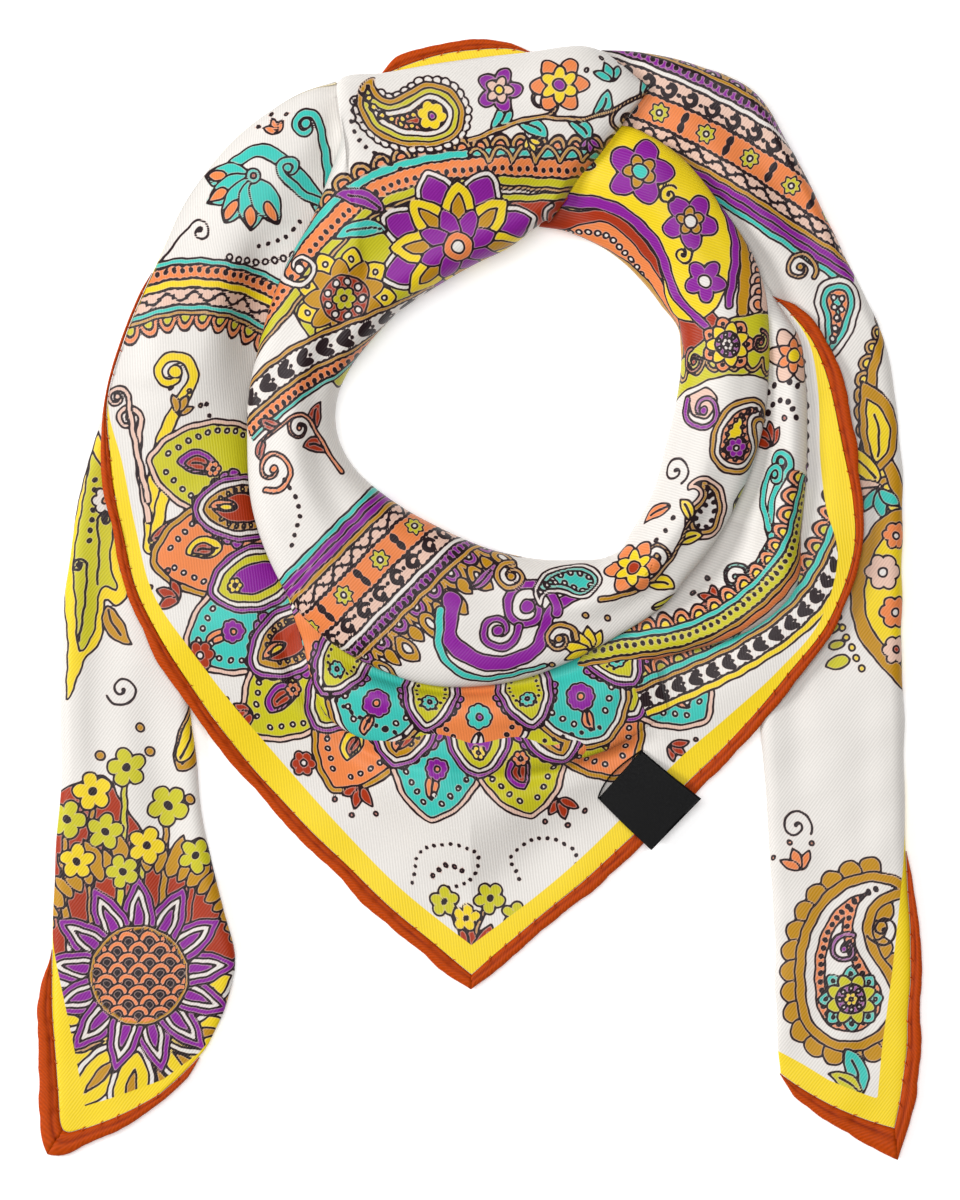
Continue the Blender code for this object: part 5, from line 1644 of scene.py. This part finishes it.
leftBorder = (
    [(-137, -85), (-131.8, -111.3), (-127.1, -133.6), (-123.6, -151.3), (-122.3, -159), (-120, -172)],
    [(-137, -162.5), (-123.1, -157.8), (-111.3, -154.1), (-98.3, -149.4), (-87.1, -141.1), (-76, -128)],
)
rightBorder = (
    [(135, -58), (132.4, -77.5), (130.2, -98.9), (128.3, -116.9), (125.6, -136.7), (123.7, -155.6),
     (122, -172)],
    [(138, -161.5), (123.7, -155.6), (116.6, -152.8), (108.5, -149.4), (100.8, -144.8), (93.3, -140.7),
     (80, -133)],
)
leftInside = borderInside(leftCloth, leftBorder, 1)
rightInside = borderInside(rightCloth, rightBorder, -1)
borderWidths = np.array(frontPanel["borderWidth"], float)[:, None]
panelInside = panelCloth.width[:, None] - panelCloth.reach
panelInside = panelInside - alongRows(borderWidths, panelCloth.at, (cornerRow,))
pieces = {}
for node, name, cloth, motifs, inside, finish in (
        ("left_tail", "left_end", leftCloth, leftMotifs, leftInside, silk["tail"]),
        ("right_tail", "right_end", rightCloth, rightMotifs, rightInside, silk["tail"]),
        ("under_strip", "back_strip", stripCloth, [], None, borderSilk),
        ("front_panel", "front_corner", panelCloth, panelMotifs, panelInside, silk["panel"]),
        ("front_swag", "front_sag", swagCloth, panelMotifs + swagMotifs, None, silk["panel"]),
        ("right_fold", "right_side_fold", foldCloth, foldMotifs, None, silk["roll"]),
        ("right_roll", "right_side_roll", rollCloth, rollMotifs + jointMotifs, None, silk["roll"]),
        ("collar_band", "neck_band", bandCloth, bandMotifs + jointMotifs, None, silk["band"])):
    border = np.full(cloth.share.shape, noBorder) if inside is None else inside
    pieces[node] = makeCloth(name, cloth, layPrint(cloth, motifs), border, finish)
print("print laid")

hemSize = {
    "spacing": 0.7, "around": 22, "height": 2.7, "rise": 0.9, "crease": 0.6, "creaseAt": 0.36,
    "creaseWidth": 0.07, "pinch": 0.035, "pinchLength": 1.1, "dip": 0.3, "wobble": 0.028,
    "stitchGap": (5.2, 8.4), "lap": 0.5, "taper": 7.0,
}
hemGap = 0.15         # between the printed face and its hem
frontCorner = (-2.5, -121.4)
leftCorner = (-134.2, -172.6)
rightCorner = (130.2, -174.4)
turnedWidth = 1.6     # of an end hem where it is turned under


def sideHem(name, cloth, first, last, seed, backwards=False, **corners):
    chosen = (cloth.at >= first - 1e-9) & (cloth.at <= last + 1e-9)
    column = np.flatnonzero(cloth.below == 0)[-1]
    edge, widths = cloth.points[chosen, column], cloth.run[chosen, 9]
    way = -1 if backwards else 1
    return rollHem(name, edge[::way], widths[::way], seed, **corners)


def endHem(name, cloth, first, width, seed, backwards=False, **corners):
    # round the cut end of a stretch, thinner where it turns under
    chosen = cloth.at >= first - 1e-9
    a, b = np.flatnonzero(cloth.below == 0)[[0, -1]]
    sides = cloth.points[chosen, b], cloth.points[chosen, a][::-1]
    edge = np.concatenate([sides[0], cloth.points[-1, a + 1:b][::-1], sides[1]])
    widths = width + (turnedWidth - width) * np.linspace(0, 1, len(edge)) ** 2
    way = -1 if backwards else 1
    return rollHem(name, edge[::way], widths[::way], seed, **corners)


hems = {
    "hem_left_side": sideHem("left_side_hem", leftCloth, 10, 14, 21, endCorner=leftCorner),
    "hem_left_end": endHem("left_end_hem", leftCloth, 14, 4.6, 22, startCorner=leftCorner),
    "hem_right_side": sideHem("right_side_hem", rightCloth, 17, 21, 23, True, startCorner=rightCorner),
    "hem_right_end": endHem("right_end_hem", rightCloth, 21, 6.4, 24, True, endCorner=rightCorner),
    "hem_back": sideHem("back_hem", stripCloth, 0, 5, 25, True),
    "hem_front_left": sideHem("front_left_hem", panelCloth, 4, 15, 26, endCorner=frontCorner),
    "hem_front_right": sideHem("front_right_hem", panelCloth, 15, 29, 27, startCorner=frontCorner),
}
pieces.update({node: piece for node, (piece, seats) in hems.items()})
print("hems rolled")

stitchSize = {
    "Length": 1.7 * mm, "Rise": 0.5 * mm, "Thread": 0.14 * mm, "slant": -56, "slope": 0.42, "lift": 0.4,
}


def makeStitchTree():
    # a short bowed thread on every seat, laid along the seat's own way
    tree, given, result = startGroup("slip stitches", [
        ("Seats", "Geometry"), ("Length", "Float"), ("Rise", "Float"), ("Thread", "Float"),
        ("Silk", "Material"),
    ], [("Stitches", "Geometry")], "GeometryNodeTree")
    halves = [calculate(tree, "MULTIPLY", given["Length"], share) for share in (-0.5, 0.5)]
    start, end = [addNode(tree, "ShaderNodeCombineXYZ", {"X": half}).outputs[0] for half in halves]
    middle = addNode(tree, "ShaderNodeCombineXYZ", {"Z": given["Rise"]}).outputs[0]
    bow = addNode(tree, "GeometryNodeCurveQuadraticBezier",
                  {"Resolution": 8, "Start": start, "Middle": middle, "End": end})
    section = addNode(tree, "GeometryNodeCurvePrimitiveCircle",
                      {"Resolution": 6, "Radius": given["Thread"]})
    thread = addNode(tree, "GeometryNodeCurveToMesh", {
        "Curve": bow.outputs["Curve"], "Profile Curve": section.outputs["Curve"], "Fill Caps": True,
    })
    way = addNode(tree, "GeometryNodeInputNamedAttribute", {"Name": "way"}, data_type="FLOAT_VECTOR")
    turn = addNode(tree, "FunctionNodeAlignRotationToVector",
                   {"Vector": way.outputs["Attribute"]}, axis="X")
    size = addNode(tree, "FunctionNodeRandomValue", {2: 0.8, 3: 1.15, "Seed": 3}, data_type="FLOAT")
    onSeats = addNode(tree, "GeometryNodeInstanceOnPoints", {
        "Points": given["Seats"], "Instance": thread.outputs["Mesh"],
        "Rotation": turn.outputs["Rotation"], "Scale": size.outputs[1],
    })
    real = addNode(tree, "GeometryNodeRealizeInstances", {"Geometry": onSeats.outputs["Instances"]})
    dressed = addNode(tree, "GeometryNodeSetMaterial",
                      {"Geometry": real.outputs["Geometry"], "Material": given["Silk"]})
    tree.links.new(dressed.outputs["Geometry"], result["Stitches"])
    return tree


def growStitches(name, seats, tree):
    mesh = bpy.data.meshes.new(name)
    places = seats[:, :3] + np.array([0, 0, stitchSize["lift"]])
    mesh.from_pydata((places * mm).tolist(), [], [])
    slant = math.radians(stitchSize["slant"])
    c, s = math.cos(slant), math.sin(slant)
    x, y = seats[:, 3], seats[:, 4]
    ways = np.stack([x * c - y * s, x * s + y * c, np.full(len(x), stitchSize["slope"])], 1)
    attribute = mesh.attributes.new("way", "FLOAT_VECTOR", "POINT")
    attribute.data.foreach_set("vector", ways.astype(np.float32).ravel())
    seatsObject = addObject(name + "_seats", mesh)
    modifier = seatsObject.modifiers.new("stitches", "NODES")
    modifier.node_group = tree
    for socket in tree.interface.items_tree:
        if socket.in_out == "INPUT" and socket.name in stitchSize:
            modifier[socket.identifier] = stitchSize[socket.name]
        elif socket.name == "Silk":
            modifier[socket.identifier] = threadSilk
    seatsObject.update_tag()
    graph = bpy.context.evaluated_depsgraph_get()
    made = bpy.data.meshes.new_from_object(seatsObject.evaluated_get(graph), depsgraph=graph)
    made.shade_smooth()
    bpy.data.objects.remove(seatsObject)
    return addObject(name, made)


stitchTree = makeStitchTree()
stitches = {}
for node, (piece, seats) in hems.items():
    stitches[node] = growStitches(piece.name.replace("hem", "stitches"), seats, stitchTree)
print("stitches sewn")

labelRows = filled(
    (37, -62, 50.5, -47, 3.8, 4.2, 4.4, 4.2, 3.8),
    (45, -70, 59.5, -54.5, 4.6, 4.8, 4.8, 4.8, 4.6),
    (53.5, -78, 69, -62, 5, 5, 5, 5, 5),
)
label = {
    "spacing": 0.8, "across": 24, "turnIn": 0, "turnOut": 0, "turnSteps": 4, "thick": 0.9, "bow": 0.8,
    "loop": 1.9, "loopThick": 0.45, "loopHeights": (-2.4, -0.2), "weave": (24, 42),
}
labelCloth = layStretch("label", labelRows, label)


def closedTube(points):
    # sections joined into a tube whose two ends are drawn shut
    shut = points[[0, -1]].mean(1, keepdims=True) + np.zeros((2, points.shape[1], 3))
    points = np.concatenate([shut[:1], points, shut[1:]])
    return np.concatenate([points, points[:, :1]], 1)


def makeLabel():
    # a folded leaf that bows a little; its under leaf stands out in a thin loop along the upper left
    top = labelCloth.points.copy()
    top[..., 2] += label["bow"] * (2 * labelCloth.share - 1) ** 2
    body = closedTube(np.concatenate([top, top[:, ::-1] - np.array([0, 0, label["thick"]])], 1))
    edge, share = top[0], labelCloth.share[0]
    way = edge[-1, :2] - edge[0, :2]
    out = np.array([-way[1], way[0]]) / np.hypot(*way)
    middle = edge[:, :2] + out * (label["loop"] * np.sin(math.pi * share ** 0.8))[:, None]
    half = label["loopThick"] / 2
    low, high = label["loopHeights"]
    corners = ((-half, low), (half, low), (half, high), (-half, high))
    sides = [np.column_stack([middle + out * x, edge[:, 2] + z]) for x, z in corners]
    loop = closedTube(np.stack(sides, 1))
    vertices, uv, faces, count = [], [], [], 0
    for part, flipped in ((body, labelCloth.flipped), (loop, False)):
        stations, columns = part.shape[:2]
        long, wide = label["weave"]
        s, t = np.meshgrid(np.linspace(0, long, stations), np.linspace(0, wide, columns), indexing="ij")
        vertices.append(part.reshape(-1, 3))
        uv.append(np.stack([s.ravel(), t.ravel()], 1))
        faces.append(gridFaces(stations, columns, flipped) + count)
        count += stations * columns
    vertices, faces, uv = [np.concatenate(parts) for parts in (vertices, faces, uv)]
    return makeMesh("woven_label", vertices, faces, labelSatin, uv)


pieces["label"] = makeLabel()

for node, piece in [*pieces.items(), *stitches.items()]:
    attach(piece, "root")
    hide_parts(node)


studio = {
    "floor": linear(253, 253, 253), "half": 3, "drop": -0.0004, "glow": 0.24, "world": 0.25,
    # each light's place and size in metres, and its power
    "lights": {"key": ((-3.4, 0.5, 2.6), 1.3, 130.0), "top": ((-0.3, 0.6, 4.2), 2.4, 112.0)},
    "lens": 300, "sensor": 36, "eye": (0.00031, -0.00031, 3.11),    # straight above, looking down
}


def makeFloor():
    mesh = bpy.data.meshes.new("floor")
    half, drop = studio["half"], studio["drop"]
    corners = [(x * half, y * half, drop) for x, y in ((-1, -1), (1, -1), (1, 1), (-1, 1))]
    mesh.from_pydata(corners, [], [(0, 1, 2, 3)])
    material = bpy.data.materials.new("pale floor")
    material.use_nodes = True
    inputs = material.node_tree.nodes["Principled BSDF"].inputs
    inputs["Base Color"].default_value = (*studio["floor"], 1)
    inputs["Roughness"].default_value = 0.9
    inputs["Specular IOR Level"].default_value = 0.1
    inputs["Emission Color"].default_value = (1, 1, 1, 1)
    inputs["Emission Strength"].default_value = studio["glow"]
    mesh.materials.append(material)
    addObject("floor", mesh)


def addLight(name, place, size, power):
    # a square panel of light that faces the middle of the scarf
    light = bpy.data.lights.new(name, "AREA")
    light.shape = "RECTANGLE"
    light.size = light.size_y = size
    light.energy = power
    lamp = addObject(name, light)
    lamp.location = place
    lamp.rotation_euler = (-Vector(place)).to_track_quat("-Z", "Y").to_euler()


makeFloor()
for name, light in studio["lights"].items():
    addLight(name, *light)
world = bpy.data.worlds.new("studio")
world.use_nodes = True
background = world.node_tree.nodes["Background"].inputs
background["Color"].default_value = (1, 1, 1, 1)
background["Strength"].default_value = studio["world"]
bpy.context.scene.world = world
bpy.context.scene.view_settings.view_transform = "Standard"

lens = bpy.data.cameras.new("camera")
lens.lens, lens.sensor_width = studio["lens"], studio["sensor"]
camera = addObject("camera", lens)
camera.location = studio["eye"]
bpy.context.scene.camera = camera
print("stage set")
